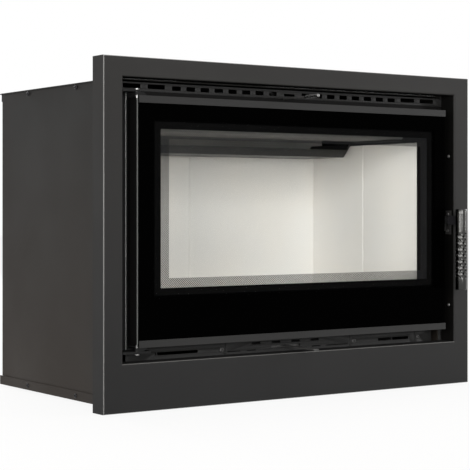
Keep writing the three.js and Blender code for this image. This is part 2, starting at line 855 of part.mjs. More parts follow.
// The lower baffle is a folded tray whose ends hang on the tops of the side liners.
function lowerBaffle() {
  const t = baffleSheet;
  const zRest = sideLinerTop + gap;
  const zFloor = zRest - lowerBaffleDrop;
  const xRest = mouthHalf + linerThickness - gap;
  const xTop = mouthHalf - gap - t;
  const xFloor = xTop - baffleEndSlope;
  const path = [
    [-xRest, zRest],
    [-xTop, zRest],
    [-xFloor, zFloor],
    [xFloor, zFloor],
    [xTop, zRest],
    [xRest, zRest],
  ];
  const yEnd = yBackLiner - gap;
  const yStart = yEnd - lowerBaffleDepth;
  const tray = extrude(foldedSheet(path, t), "y", yStart, yEnd);
  const slope = baffleEndSlope / lowerBaffleDrop;
  const lipTop = zFloor + lowerBaffleLip;
  const lip = polygon([
    [-xFloor, zFloor],
    [xFloor, zFloor],
    [xFloor + slope * lowerBaffleLip, lipTop],
    [-xFloor - slope * lowerBaffleLip, lipTop],
  ]);
  piece("body", "lower_baffle", "bareSteel", tray, extrude(lip, "y", yStart, yStart + t));
}

// The upper baffle is a vermiculite board on two angle brackets.
function upperBaffle() {
  const z0 = sideLinerTop + gap;
  const y0 = yPlateBack + upperBaffleFromMouth;
  const y1 = y0 + upperBaffleDepth;
  const t = baffleSheet;
  for (const side of sides) {
    const xWall = side * (shellInner - gap);
    const xEnd = side * (mouthHalf - 2 * t);
    const zTop = z0 + baffleBracketHeight;
    const path = [
      [xWall, z0],
      [xWall, zTop],
      [xEnd, zTop],
    ];
    const name = side < 0 ? "baffle_bracket_left" : "baffle_bracket_right";
    piece("body", name, "bareSteel", extrude(foldedSheet(path, side * t), "y", y0 + t, y1 - t));
  }
  const zBoard = z0 + baffleBracketHeight + gap;
  const half = shellInner - 2 * panClearance;
  board("upper_baffle", "z", [-half, half, y0, y1], zBoard, zBoard + upperBaffleThickness, -1);
}

// A slotted bar on a foot keeps logs off the glass.
function logGuard() {
  const y0 = yPlateBack + logGuardSetback;
  const half = mouthHalf - logGuardEndGap;
  const z0 = floorTop + gap;
  const foot = box(-half, half, y0, y0 + logGuardFoot, z0, z0 + logGuardThickness);
  const outline = rectangle(-half, half, z0, z0 + logGuardHeight);
  const pitch = (2 * half) / logGuardSlots;
  for (let n = 0; n < logGuardSlots; n += 1) {
    const u = -half + pitch * (n + 0.5);
    outline.holes.push(slotOutline(u, z0 + logGuardSlotRise, pitch * logGuardSlotShare, logGuardSlotHeight));
  }
  piece("body", "log_guard", "castIron", extrude(outline, "y", y0, y0 + logGuardThickness), foot);
}

// ---------------------------------------------------------------- flue collar

function flueCollar() {
  const inner = flueOuterRadius - flueWall;
  const z0 = shellTop + gap;
  const profile = [
    [inner, z0],
    [flueOuterRadius + flueFlangeReach, z0],
    [flueOuterRadius + flueFlangeReach, z0 + flueFlangeHeight],
    [flueOuterRadius + flueFillet, z0 + flueFlangeHeight],
    [flueOuterRadius, z0 + flueFlangeHeight + flueFillet],
    [flueOuterRadius, flueTop],
    [inner, flueTop],
  ];
  piece("body", "flue_collar", "castIron", turned(profile, "z", 0, yFlue, 32));
}

// ---------------------------------------------------------------- door

function doorFrame() {
  const s = doorSheet;
  const outer = [doorLeft, doorRight, doorFrameBottom, doorFrameTop];
  const tunnel = [
    windowLeft - windowReveal,
    windowRight + windowReveal,
    windowBottom - windowReveal,
    windowTop + windowReveal,
  ];
  const grown = [tunnel[0] - s, tunnel[1] + s, tunnel[2] - s, tunnel[3] + s];
  const shrunk = [outer[0] + s, outer[1] - s, outer[2] + s, outer[3] - s];
  const yEnd = yBackPlate - gap;
  const face = extrude(ring(outer, tunnel), "y", yDoorFrame, yDoorFrame + s);
  const flange = extrude(ring(outer, shrunk), "y", yDoorFrame, yEnd);
  const reveal = extrude(ring(grown, tunnel), "y", yDoorFrame, yEnd);
  const holeRadius = pinRadius + pinClearance;
  const pinHole = rod(holeRadius, "z", hingeX, hingeY, doorFrameBottom - overcut, doorFrameTop + overcut);
  piece("door", "door_frame", "blackSteel", cut(join(face, flange, reveal), pinHole));
  const backTunnel = [tunnel[0] - gap, tunnel[1] + gap, tunnel[2] - gap, tunnel[3] + gap];
  const back = extrude(ring(outer, backTunnel), "y", yBackPlate, yDoorBack);
  piece("door", "door_back_plate", "blackSteel", back);
}

function doorGasket() {
  const from = gasketFromMouth;
  const inner = [-mouthHalf - from, mouthHalf + from, mouthBottom - from, mouthTop + from];
  const w = gasketWidth;
  const outer = [inner[0] - w, inner[1] + w, inner[2] - w, inner[3] + w];
  const y0 = yDoorBack + gap;
  piece("door", "door_seal", "rope", extrude(ring(outer, inner), "y", y0, y0 + gasketThickness));
}

function doorGlass() {
  const left = doorLeft - glassLeftOverhang;
  const right = doorRight - glassRightSetback;
  const bottom = doorBottom + railHeight - railBite;
  const top = doorTop - railHeight + railBite;
  piece("door", "door_glass", "glass", extrude(rectangle(left, right, bottom, top), "y", yGlass, yGlassBack));
}

// Folded rails clip over the top and bottom edges of the glass.
function doorRails() {
  const yEnd = yBackPlate - gap;
  for (const side of sides) {
    const z = side < 0 ? doorBottom : doorTop;
    const path = [
      [yRailFront, z - side * railHeight],
      [yRailFront, z],
      [yEnd, z],
    ];
    const rail = extrude(foldedSheet(path, -side * railSheet), "x", railLeft, railRight);
    const pinHole = rod(pinRadius + pinClearance, "z", hingeX, hingeY, z - 2 * railSheet, z + 2 * railSheet);
    piece("door", side < 0 ? "door_bottom_rail" : "door_top_rail", "blackSteel", cut(rail, pinHole));
  }
}

// ---------------------------------------------------------------- hinges

// Each lug is fixed to a rail and turns on its pin. Its far end slopes down to the rail.
function hingeLugs() {
  for (const side of sides) {
    const z0 = side < 0 ? doorBottom - gap - lugHeight : doorTop + gap;
    const outline = new THREE.Shape();
    outline.absarc(hingeX, hingeY, lugRadius, Math.PI / 2, (3 * Math.PI) / 2, false);
    outline.lineTo(hingeX + lugLength, hingeY - lugRadius);
    outline.lineTo(hingeX + lugLength, hingeY + lugRadius);
    outline.closePath();
    outline.holes.push(holeOutline(hingeX, hingeY, pinRadius + pinClearance));
    const lug = extrude(outline, "z", z0, z0 + lugHeight, 6);
    const tip = hingeX + lugLength;
    const far = side < 0 ? z0 : z0 + lugHeight;
    const slope = polygon([
      [tip + overcut, far + side * overcut],
      [tip - lugHeight, far + side * overcut],
      [tip - lugHeight, far],
      [tip, far - side * (lugHeight - lugTip)],
      [tip + overcut, far - side * (lugHeight - lugTip)],
    ]);
    const wedge = extrude(slope, "y", hingeY - 2 * lugRadius, hingeY + 2 * lugRadius);
    piece("door", side < 0 ? "hinge_lug_lower" : "hinge_lug_upper", "bareSteel", cut(lug, wedge));
  }
}

function hingeBracket(name, end, z0, z1) {
  const left = -openingHalf + gap;
  const right = hingeX + end;
  const back = yPlate - gap;
  const front = hingeY - lugRadius;
  const round = Math.min(lugRadius, end);
  const outline = new THREE.Shape();
  outline.moveTo(left, back);
  outline.lineTo(left, front + round);
  outline.lineTo(left + round, front);
  outline.lineTo(right - round, front);
  outline.absarc(right - round, front + round, round, -Math.PI / 2, 0, false);
  outline.lineTo(right, back);
  outline.closePath();
  outline.holes.push(holeOutline(hingeX, hingeY, pinRadius + pinClearance));
  piece("body", name, "bareSteel", extrude(outline, "z", z0, z1, 6));
}

function hinges() {
  const upperZ = doorTop + gap + lugHeight + gap;
  const lowerZ = doorBottom - gap - lugHeight - gap;
  hingeBracket("hinge_bracket_upper", upperBracketEnd, upperZ, upperZ + upperBracketThickness);
  hingeBracket("hinge_bracket_lower", lowerBracketEnd, lowerZ - lowerBracketThickness, lowerZ);

  // Pins with a head outside each bracket
  const reach = railHeight - railBite - gap;
  const topSeat = upperZ + upperBracketThickness + gap;
  const bottomSeat = lowerZ - lowerBracketThickness - gap;
  const upperPin = [
    [0, doorTop - reach],
    [pinRadius, doorTop - reach],
    [pinRadius, topSeat],
    [pinHeadRadius, topSeat],
    [pinHeadRadius, topSeat + pinHeadHeight * pinHeadTaper],
    [pinHeadRadius * pinHeadTaper, topSeat + pinHeadHeight],
    [0, topSeat + pinHeadHeight],
  ];
  const lowerPin = [
    [0, bottomSeat - pinHeadHeight],
    [pinHeadRadius * pinHeadTaper, bottomSeat - pinHeadHeight],
    [pinHeadRadius, bottomSeat - pinHeadHeight * pinHeadTaper],
    [pinHeadRadius, bottomSeat],
    [pinRadius, bottomSeat],
    [pinRadius, doorBottom + reach],
    [0, doorBottom + reach],
  ];
  piece("body", "hinge_pin_upper", "brightSteel", turned(upperPin, "z", hingeX, hingeY));
  piece("body", "hinge_pin_lower", "brightSteel", turned(lowerPin, "z", hingeX, hingeY));

  // An angle between the two brackets stiffens the front plate on the hinge side
  const right = doorLeft - hingePostGap;
  const back = yPlate - gap;
  const path = [
    [right - hingePostWidth, back],
    [right, back],
    [right, back - hingePostDepth],
  ];
  const post = extrude(foldedSheet(path, -hingePostSheet), "z", lowerZ + gap, upperZ - gap);
  piece("body", "hinge_post", "bareSteel", post);
}

// ---------------------------------------------------------------- handle and latch

// A tube closed by a disc at each end, pierced by staggered rows of round holes so that air cools it.
function handleTube() {
  const inner = tubeRadius - tubeWall;
  const zRing = tubeTop - tubeRingDrop;
  const w = tubeRingWidth / 2;
  const e = tubeEdge;
  const profile = [
    [0, tubeBottom],
    [tubeRadius - e, tubeBottom],
    [tubeRadius, tubeBottom + e],
    [tubeRadius, zRing - w],
    [tubeRadius - tubeRingDepth, zRing - w / 2],
    [tubeRadius - tubeRingDepth, zRing + w / 2],
    [tubeRadius, zRing + w],
    [tubeRadius, tubeTop - e],
    [tubeRadius - e, tubeTop],
    [0, tubeTop],
  ];
  const bore = rod(inner, "z", latchX, latchY, tubeBottom + tubeDisc, tubeTop - tubeDisc, tubeFacets);
  const tube = turned(profile, "z", latchX, latchY, tubeFacets);
  const holes = [];
  const step = (2 * Math.PI) / perforationsPerRow;
  for (let row = 0; row < perforationRows; row += 1) {
    const z = tubeTop - perforationTop - row * perforationPitch;
    for (let n = 0; n < perforationsPerRow; n += 1) {
      const angle = step * (n + (row % 2) / 2);
      const hole = new THREE.CylinderGeometry(perforationRadius, perforationRadius, tubeRadius, 8);
      hole.rotateZ(Math.PI / 2);
      hole.translate(tubeRadius, 0, 0);
      hole.rotateZ(angle);
      hole.translate(latchX, latchY, z);
      holes.push(solidOf(hole));
    }
  }
  piece("latch", "handle_tube", "brightSteel", cut(tube, bore, join(...holes)));
}

function latch() {
  // The arm is a flat bar between the tube and the shaft
  const yArm = latchY + tubeRadius + gap;
  const yShaft = yFront + bushFromFace - gap;
  const z0 = latchAxisHeight - armHeight / 2;
  const z1 = latchAxisHeight + armHeight / 2;
  const c = armChamfer;
  const outline = polygon([
    [yArm, z0],
    [yShaft - c, z0],
    [yShaft, z0 + c],
    [yShaft, z1 - c],
    [yShaft - c, z1],
    [yArm, z1],
  ]);
  const half = armThickness / 2;
  const arm = extrude(outline, "x", latchX - half, latchX + half);
  const yTongue = yFront + tongueFromFace;
  const shaft = rod(shaftRadius, "y", latchX, latchAxisHeight, yShaft - c, yTongue - gap);
  piece("latch", "handle_arm", "bareSteel", join(arm, shaft));

  const hub = tongueHeight / 2;
  const tongueOutline = new THREE.Shape();
  tongueOutline.absarc(latchX, latchAxisHeight, hub, Math.PI / 2, (3 * Math.PI) / 2, false);
  tongueOutline.lineTo(latchX + tongueReach, latchAxisHeight - hub);
  tongueOutline.lineTo(latchX + tongueReach, latchAxisHeight + hub);
  tongueOutline.closePath();
  piece("latch", "latch_tongue", "bareSteel", extrude(tongueOutline, "y", yTongue, yTongue + tongueThickness, 6));

  // The bush is fixed to the door's side by its block and the shaft turns in it
  const y0 = yFront + bushFromFace;
  const bore = shaftRadius + bushClearance;
  const profile = [
    [bore, y0],
    [bushRadius - bushChamfer, y0],
    [bushRadius, y0 + bushChamfer],
    [bushRadius, y0 + bushLength],
    [bore, y0 + bushLength],
  ];
  const block = box(
    doorRight + gap,
    latchX,
    y0,
    y0 + bushLength,
    latchAxisHeight - bushRadius + bushChamfer,
    latchAxisHeight + bushRadius - bushChamfer,
  );
  const passage = rod(bore, "y", latchX, latchAxisHeight, y0 - overcut, y0 + bushLength + overcut, 16);
  const bush = turned(profile, "y", latchX, latchAxisHeight, 16);
  piece("door", "latch_bush", "bareSteel", cut(join(bush, block), passage));
}

// The keeper is an angle on the jamb. The turned tongue drops behind its finger.
function keeper() {
  const x1 = openingHalf - gap;
  const x0 = x1 - keeperSheet;
  const z0 = latchAxisHeight - keeperDrop;
  const yEnd = yFront + tongueFromFace - keeperTongueGap;
  const plate = box(x0, x1, yEnd - keeperDepth, yEnd, z0, z0 + keeperHeight);
  const zFinger = latchAxisHeight - fingerBelowAxis;
  const finger = box(x0 - fingerReach, x1, yEnd - fingerThickness, yEnd, zFinger - fingerHeight, zFinger);
  const y = yFront + frameScrewFromFace;
  const holes = keeperScrewOffsets.map((dz) => screwHole("x", y, latchAxisHeight + dz, x0 - overcut, x1 + overcut));
  piece("body", "latch_keeper", "bareSteel", cut(join(plate, finger), ...holes));
}

// ---------------------------------------------------------------- air controls

// The primary air lever moves a plate with ports across the same ports in the air box.
function primaryAir() {
  const ySlide = yPlateBack + gap;
  const ySlideBack = ySlide + slideThickness;
  const zMiddle = leverHeight - slideBelowLever;
  const z0 = zMiddle - slideHeight / 2;
  const z1 = zMiddle + slideHeight / 2;
  const zPort = zMiddle - portDrop;
  const portX = (n) => leverFromCentre + (n - (portCount - 1) / 2) * portPitch;
  const outline = rectangle(leverFromCentre - slideLength / 2, leverFromCentre + slideLength / 2, z0, z1);
  for (let n = 0; n < portCount; n += 1) {
    outline.holes.push(slotOutline(portX(n), zPort, portWidth, portHeight));
  }
  const plate = extrude(outline, "y", ySlide, ySlideBack);
  const half = leverWidth / 2;
  const tip = yFront - leverForward;
  const lever = new THREE.Shape();
  lever.moveTo(leverFromCentre + half, ySlide + slideThickness / 2);
  lever.lineTo(leverFromCentre - half, ySlide + slideThickness / 2);
  lever.lineTo(leverFromCentre - half, tip + half);
  lever.absarc(leverFromCentre, tip + half, half, Math.PI, 2 * Math.PI, false);
  lever.closePath();
  const bar = extrude(lever, "z", leverTop - leverThickness, leverTop, 6);
  piece("primaryAir", "primary_air_slide", "bareSteel", join(plate, bar));

  const yBox = ySlideBack + gap;
  const s = pitSheet;
  const x = airBoxWidth / 2;
  const yEnd = yGrate + pitSheet;
  const top = shellFloor - gap;
  const bottom = top - airBoxHeight;
  const outer = box(-x, x, yBox, yEnd, bottom, top);
  const hollow = box(-x + s, x - s, yBox + s, yEnd - s, bottom + s, top - s);
  const ports = [];
  for (let n = 0; n < portCount; n += 1) {
    ports.push(extrude(slotOutline(portX(n), zPort, portWidth, portHeight), "y", yBox - overcut, yBox + s + overcut));
  }
  const outlet = box(-portWidth, portWidth, yEnd - 2 * s, yEnd + overcut, pitBottom + pitPortSill, top - pitPortHead);
  const guides = sides.map((side) => {
    const edge = side < 0 ? z0 - gap : z1 + gap;
    const path = [
      [yBox, edge],
      [ySlide - gap - guideLipSheet, edge],
      [ySlide - gap - guideLipSheet, edge - side * guideLip],
    ];
    return extrude(foldedSheet(path, -side * guideLipSheet), "x", -x, x);
  });
  piece("body", "air_box", "bareSteel", join(cut(outer, hollow, ...ports, outlet), ...guides));
}

// The secondary air rod has a ribbed grip in front and a valve disc behind.
function secondaryAir() {
  const yTip = yFront - gripForward;
  const yGrip = yTip + gripLength;
  const yValve = yPlateBack + valveFromPlate;
  const profile = [[0, yTip]];
  const pitch = gripLength / gripRibs;
  for (let n = 0; n < gripRibs; n += 1) {
    const y = yTip + n * pitch;
    profile.push([gripRadius - gripRibDepth, y]);
    profile.push([gripRadius, y + pitch * gripRibSlope]);
    profile.push([gripRadius, y + pitch * (1 - gripRibSlope)]);
  }
  profile.push([gripRadius - gripRibDepth, yGrip]);
  profile.push([0, yGrip]);
  const grip = turned(profile, "y", rodFromCentre, rodHeight, 10);
  const bore = rod(rodRadius + gap, "y", rodFromCentre, rodHeight, yTip + pitch, yGrip + overcut, 10);
  piece("secondaryAir", "secondary_air_grip", "brightSteel", cut(grip, bore));
  const bar = rod(rodRadius, "y", rodFromCentre, rodHeight, yTip + pitch + gap, yValve, 10);
  const disc = rod(valveRadius, "y", rodFromCentre, rodHeight, yValve - valveThickness, yValve, 20);
  piece("secondaryAir", "secondary_air_rod", "bareSteel", join(bar, disc));

  // The air box behind the valve, with the port that the disc covers
  const yBox = yValve + rodTravel + valveBoxClearance;
  const half = valveBoxWidth / 2;
  const s = valveBoxSheet;
  const z0 = shellTop + gap;
  const z1 = lidBottom - gap;
  const x0 = rodFromCentre - half;
  const x1 = rodFromCentre + half;
  const outer = box(x0, x1, yBox, yBox + valveBoxDepth, z0, z1);
  const hollow = box(x0 + s, x1 - s, yBox + s, yBox + valveBoxDepth - s, z0 - overcut, z1 - s);
  const port = rod(valvePortRadius, "y", rodFromCentre, rodHeight, yBox - overcut, yBox + 2 * s, 16);
  piece("body", "secondary_air_box", "bareSteel", cut(outer, hollow, port));

  // A guide carries the rod between the strip and the valve
  const yGuide = yPlateBack + guideFromPlate;
  const plate = rectangle(
    rodFromCentre - guideWidth / 2,
    rodFromCentre + guideWidth / 2,
    z0,
    rodHeight + guideHeight,
  );
  plate.holes.push(holeOutline(rodFromCentre, rodHeight, rodRadius + rodHoleClearance));
  const upright = extrude(plate, "y", yGuide, yGuide + guideSheet, 6);
  const foot = box(
    rodFromCentre - guideWidth / 2,
    rodFromCentre + guideWidth / 2,
    yGuide - guideWidth / 2,
    yGuide + guideSheet,
    z0,
    z0 + guideSheet,
  );
  piece("body", "rod_guide", "bareSteel", upright, foot);
}

// ---------------------------------------------------------------- stands under the firebox

function stands() {
  for (const side of sides) {
    const w = standWidth / 2;
    const x = side * (shellOuter - standInset - w);
    const z0 = panFloorTop + gap;
    const z1 = shellFloor - gap;
    const path = [
      [x + side * w, z0],
      [x - side * w, z0],
      [x - side * w, z1],
      [x + side * w, z1],
    ];
    const y0 = yPlateBack + standSetback;
    const channel = extrude(foldedSheet(path, -side * standSheet), "y", y0, y0 + standLength);
    piece("body", side < 0 ? "stand_left" : "stand_right", "bareSteel", channel);
  }
}

surroundFrame();
frameClips();
casingSides();
casingTop();
casingBack();
basePan();
frontPlate();
upperGrille();
lowerStrips();
fireboxShell();
liners();
grate();
ashPit();
lowerBaffle();
upperBaffle();
logGuard();
flueCollar();
stands();
doorFrame();
doorGasket();
doorGlass();
doorRails();
hingeLugs();
hinges();
handleTube();
latch();
keeper();
primaryAir();
secondaryAir();

export default insert;
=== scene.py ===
"""Visual model of a fireplace insert: surround, casing, glazed door and lined firebox, on a pale floor."""
import json
import math
import bpy
from mathutils import Matrix, Vector


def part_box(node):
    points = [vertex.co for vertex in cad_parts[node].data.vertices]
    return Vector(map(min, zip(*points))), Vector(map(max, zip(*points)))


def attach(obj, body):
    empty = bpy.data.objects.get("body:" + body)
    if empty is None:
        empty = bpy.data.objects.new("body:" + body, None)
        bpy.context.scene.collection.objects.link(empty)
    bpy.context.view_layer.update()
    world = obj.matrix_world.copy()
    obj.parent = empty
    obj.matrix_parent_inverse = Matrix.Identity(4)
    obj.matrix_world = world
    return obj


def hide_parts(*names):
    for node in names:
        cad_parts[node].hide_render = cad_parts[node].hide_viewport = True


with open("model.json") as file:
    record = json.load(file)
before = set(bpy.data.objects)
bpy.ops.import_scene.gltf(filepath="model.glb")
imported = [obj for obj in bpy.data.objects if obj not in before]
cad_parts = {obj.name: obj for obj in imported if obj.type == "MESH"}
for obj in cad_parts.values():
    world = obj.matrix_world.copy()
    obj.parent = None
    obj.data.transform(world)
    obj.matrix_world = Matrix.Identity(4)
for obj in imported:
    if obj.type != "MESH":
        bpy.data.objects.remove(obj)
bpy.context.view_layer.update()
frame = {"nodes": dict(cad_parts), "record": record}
nodes = frame["nodes"]
MM = 0.001


# ---------------------------------------------------------------- camera
CAMERA_PLACE = (-1.593, -2.316, 0.334)
CAMERA_YAW = 34.8  # degrees to the right of +Y, from the photo's vanishing points
CAMERA_LENS = 114.2  # millimetres on a 36 mm sensor


def make_camera():
    """A level camera; the shift puts its horizon where the photo has it."""
    data = bpy.data.cameras.new("camera")
    data.sensor_width = 36
    data.lens = CAMERA_LENS
    data.shift_y = -0.0585
    data.clip_start = 0.01
    data.clip_end = 60
    camera = bpy.data.objects.new("camera", data)
    camera.location = CAMERA_PLACE
    camera.rotation_euler = (math.radians(90), 0, math.radians(-CAMERA_YAW))
    bpy.context.scene.collection.objects.link(camera)
    bpy.context.scene.camera = camera


make_camera()


# ---------------------------------------------------------------- light and floor
SOFTBOXES = (
    # name, place, aim, size, watts
    ("right_strip", (4.0, -2.9, 1.1), (0, -0.1, 0.3), (0.6, 1.9), 60),
    ("left_strip", (-4.1, -1.15, 0.75), (0, -0.1, 0.3), (0.7, 1.7), 45),
    ("front_key", (-1.6, -4.7, 1.2), (0, 0, 0.32), (2.2, 1.6), 140),
    ("left_key", (-3.7, -3.1, 0.9), (0.1, 0, 0.33), (1.6, 1.5), 74),
    ("top_softbox", (0.3, 0.6, 3.4), (0, 0, 0.3), (2.6, 2.2), 45),
    ("back_softbox", (0.6, 4.2, 1.8), (0, 0, 0.3), (2.6, 1.8), 120),
    ("right_softbox", (4.4, 1.2, 1.5), (0.3, 0.1, 0.3), (2.2, 1.6), 75),
)
AMBIENT = 0.3
FLOOR_REACH = 14
FLOOR_DROP = 0.0005  # keeps the floor clear of the base's underside
FLOOR_WHITENESS = 0.9  # share of plain white in what the eye sees of the floor; the rest takes the shadow


def softbox(name, place, aim, size, watts):
    """A rectangular lamp at place, turned to aim."""
    data = bpy.data.lights.new(name, "AREA")
    data.shape = "RECTANGLE"
    data.size, data.size_y = size
    data.energy = watts
    lamp = bpy.data.objects.new(name, data)
    lamp.location = place
    lamp.rotation_euler = (Vector(aim) - Vector(place)).to_track_quat("-Z", "Y").to_euler()
    bpy.context.scene.collection.objects.link(lamp)


def white_for_the_eye(tree, lit, out):
    """What eye, gloss and glass see is plain white; everything else gets the shader lit."""
    link = tree.links.new
    path = tree.nodes.new("ShaderNodeLightPath")
    add = tree.nodes.new("ShaderNodeMath")
    more = tree.nodes.new("ShaderNodeMath")
    add.operation = more.operation = "ADD"
    more.use_clamp = True
    link(path.outputs["Is Camera Ray"], add.inputs[0])
    link(path.outputs["Is Glossy Ray"], add.inputs[1])
    link(add.outputs[0], more.inputs[0])
    link(path.outputs["Is Transmission Ray"], more.inputs[1])
    mix = tree.nodes.new("ShaderNodeMixShader")
    link(more.outputs[0], mix.inputs[0])
    link(lit, mix.inputs[1])
    link(mix.outputs[0], out)
    return mix.inputs[2]


def make_world():
    """Soft ambient light round the part, and white wherever the background is seen."""
    world = bpy.data.worlds.new("studio")
    bpy.context.scene.world = world
    world.use_nodes = True
    tree = world.node_tree
    tree.nodes.clear()
    out = tree.nodes.new("ShaderNodeOutputWorld")
    ambient = tree.nodes.new("ShaderNodeBackground")
    ambient.inputs["Color"].default_value = (1, 0.985, 0.96, 1)
    ambient.inputs["Strength"].default_value = AMBIENT
    white = tree.nodes.new("ShaderNodeBackground")
    seen = white_for_the_eye(tree, ambient.outputs[0], out.inputs["Surface"])
    tree.links.new(white.outputs[0], seen)
    white.inputs["Color"].default_value = (1, 1, 1, 1)


def make_floor():
    """A pale plane that keeps the part's shadow."""
    mesh = bpy.data.meshes.new("floor")
    far = FLOOR_REACH
    mesh.from_pydata([(-far, -far, 0), (far, -far, 0), (far, far, 0), (-far, far, 0)], [], [(0, 1, 2, 3)])
    floor = bpy.data.objects.new("floor", mesh)
    floor.location.z = -FLOOR_DROP
    bpy.context.scene.collection.objects.link(floor)
    surface = bpy.data.materials.new("floor")
    surface.use_nodes = True
    tree = surface.node_tree
    tree.nodes.clear()
    out = tree.nodes.new("ShaderNodeOutputMaterial")
    diffuse = tree.nodes.new("ShaderNodeBsdfDiffuse")
    diffuse.inputs["Color"].default_value = (0.9, 0.89, 0.87, 1)
    white = tree.nodes.new("ShaderNodeEmission")
    white.inputs["Color"].default_value = (1, 1, 1, 1)
    shaded = tree.nodes.new("ShaderNodeMixShader")
    shaded.inputs[0].default_value = FLOOR_WHITENESS
    tree.links.new(diffuse.outputs[0], shaded.inputs[1])
    tree.links.new(white.outputs[0], shaded.inputs[2])
    seen = white_for_the_eye(tree, diffuse.outputs[0], out.inputs["Surface"])
    tree.links.new(shaded.outputs[0], seen)
    floor.data.materials.append(surface)


make_world()
make_floor()
for box in SOFTBOXES:
    softbox(*box)
bpy.context.scene.view_settings.view_transform = "Standard"


# ---------------------------------------------------------------- materials
class Shader:
    """One procedural material, built from a few named steps."""

    def __init__(self, name):
        self.material = bpy.data.materials.new(name)
        self.material.use_nodes = True
        self.tree = self.material.node_tree
        self.tree.nodes.clear()
        self.out = self.node("ShaderNodeOutputMaterial")
        self.main = self.node("ShaderNodeBsdfPrincipled")
        self.link(self.main.outputs[0], self.out.inputs[0])
        self.place = self.node("ShaderNodeTexCoord").outputs["Object"]

    def node(self, kind, **settings):
        made = self.tree.nodes.new(kind)
        for key, value in settings.items():
            setattr(made, key, value)
        return made

    def link(self, a, b):
        self.tree.links.new(a, b)

    def set(self, **values):
        for key, value in values.items():
            self.main.inputs[key.replace("_", " ")].default_value = value
        return self

    def stretched(self, scale):
        """Object coordinates, scaled per axis."""
        mapping = self.node("ShaderNodeMapping")
        mapping.inputs["Scale"].default_value = scale
        self.link(self.place, mapping.inputs["Vector"])
        return mapping.outputs[0]

    def noise(self, scale, detail=3, rough=0.5, where=None):
        made = self.node("ShaderNodeTexNoise")
        made.inputs["Scale"].default_value = scale
        made.inputs["Detail"].default_value = detail
        made.inputs["Roughness"].default_value = rough
        self.link(where or self.place, made.inputs["Vector"])
        return made.outputs["Fac"]

    def spots(self, scale):
        made = self.node("ShaderNodeTexVoronoi")
        made.inputs["Scale"].default_value = scale
        self.link(self.place, made.inputs["Vector"])
        return made.outputs["Distance"]

    def ramp(self, factor, *stops):
        """Colour stops (place, colour) or value stops (place, number) over factor."""
        made = self.node("ShaderNodeValToRGB")
        elements = made.color_ramp.elements
        while len(elements) < len(stops):
            elements.new(0.5)
        for element, (at, value) in zip(elements, stops):
            element.position = at
            shade = value if isinstance(value, tuple) else (value,) * 3
            element.color = (*shade, 1)
        self.link(factor, made.inputs["Fac"])
        return made.outputs["Color"]

    def mix(self, factor, a, b, kind="MIX"):
        """Blend of two colours; each input is a number, a colour or a socket."""
        made = self.node("ShaderNodeMix", data_type="RGBA", blend_type=kind)
        for index, value in ((0, factor), (6, a), (7, b)):
            if isinstance(value, (int, float)):
                made.inputs[index].default_value = value
            elif isinstance(value, tuple):
                made.inputs[index].default_value = (*value, 1)
            else:
                self.link(value, made.inputs[index])
        return made.outputs[2]

    def colour(self, socket):
        self.link(socket, self.main.inputs["Base Color"])
        return self

    def rough(self, socket):
        self.link(socket, self.main.inputs["Roughness"])
        return self

    def bump(self, height, strength, distance):
        """Adds a relief on top of those that are there."""
        made = self.node("ShaderNodeBump")
        made.inputs["Strength"].default_value = strength
        made.inputs["Distance"].default_value = distance
        self.link(height, made.inputs["Height"])
        normal = self.main.inputs["Normal"]
        if normal.is_linked:
            self.link(normal.links[0].from_socket, made.inputs["Normal"])
        self.link(made.outputs[0], normal)
        return self


def stove_paint(name, tone, spread=0.12, grain=1.0, rough=0.52, gloss=0.2, floor_tint=None):
    """Baked matt stove paint: slow cloudiness, powder grain and a light orange-peel surface.

    With a floor tint given, its colour is multiplied by that at the floor, fading out half a metre up: painted
    light and shade near the floor.
    """
    s = Shader(name).set(Specular_IOR_Level=gloss)
    dark = tuple(c * (1 - spread) for c in tone)
    light = tuple(c * (1 + spread) for c in tone)
    clouds = s.ramp(s.noise(3.1, 4, 0.55), (0.3, dark), (0.7, light))
    powder = s.ramp(s.noise(1900, 2, 0.6), (0.3, 0.86), (0.72, 1.14))
    shade = s.mix(1.0, clouds, powder, "MULTIPLY")
    # painted light and shade: the colour changes towards the floor
    if floor_tint:
        split = s.node("ShaderNodeSeparateXYZ")
        s.link(s.place, split.inputs[0])
        low = s.ramp(split.outputs["Z"], (0.0, floor_tint), (0.5, (1.0, 1.0, 1.0)))
        shade = s.mix(1.0, shade, low, "MULTIPLY")
    s.colour(shade)
    s.rough(s.ramp(s.noise(7, 3), (0.3, rough - 0.04), (0.7, rough + 0.06)))
    s.bump(s.noise(520, 3, 0.6), 0.22 * grain, 0.0004)
    s.bump(s.noise(2400, 2, 0.5), 0.18 * grain, 0.0001)
    return s.material


def rolled_steel(name, tone, rough=0.42, gloss=0.45):
    """Dark rolled sheet: mill streaks along its length and a thin oil-dark film."""
    s = Shader(name).set(Specular_IOR_Level=gloss)
    streaks = s.noise(60, 4, 0.6, s.stretched((1, 1, 8)))
    dark = tuple(c * 0.8 for c in tone)
    light = tuple(c * 1.25 for c in tone)
    s.colour(s.ramp(streaks, (0.3, dark), (0.7, light)))
    s.rough(s.ramp(s.noise(30, 4), (0.3, rough - 0.07), (0.7, rough + 0.1)))
    s.bump(s.noise(700, 3, 0.6), 0.15, 0.0002)
    return s.material


def brushed_steel(name, tone, rough=0.3, axis=2):
    """Brushed stainless steel, its strokes running along an axis (0, 1, 2 for X, Y, Z)."""
    s = Shader(name).set(Metallic=1.0)
    scale = [900.0, 900.0, 900.0]
    scale[axis] = 14.0
    strokes = s.noise(1, 4, 0.65, s.stretched(tuple(scale)))
    dark = tuple(c * 0.86 for c in tone)
    light = tuple(min(1, c * 1.1) for c in tone)
    s.colour(s.ramp(strokes, (0.3, dark), (0.7, light)))
    s.rough(s.ramp(strokes, (0.3, rough - 0.05), (0.7, rough + 0.09)))
    s.bump(strokes, 0.12, 0.00015)
    return s.material


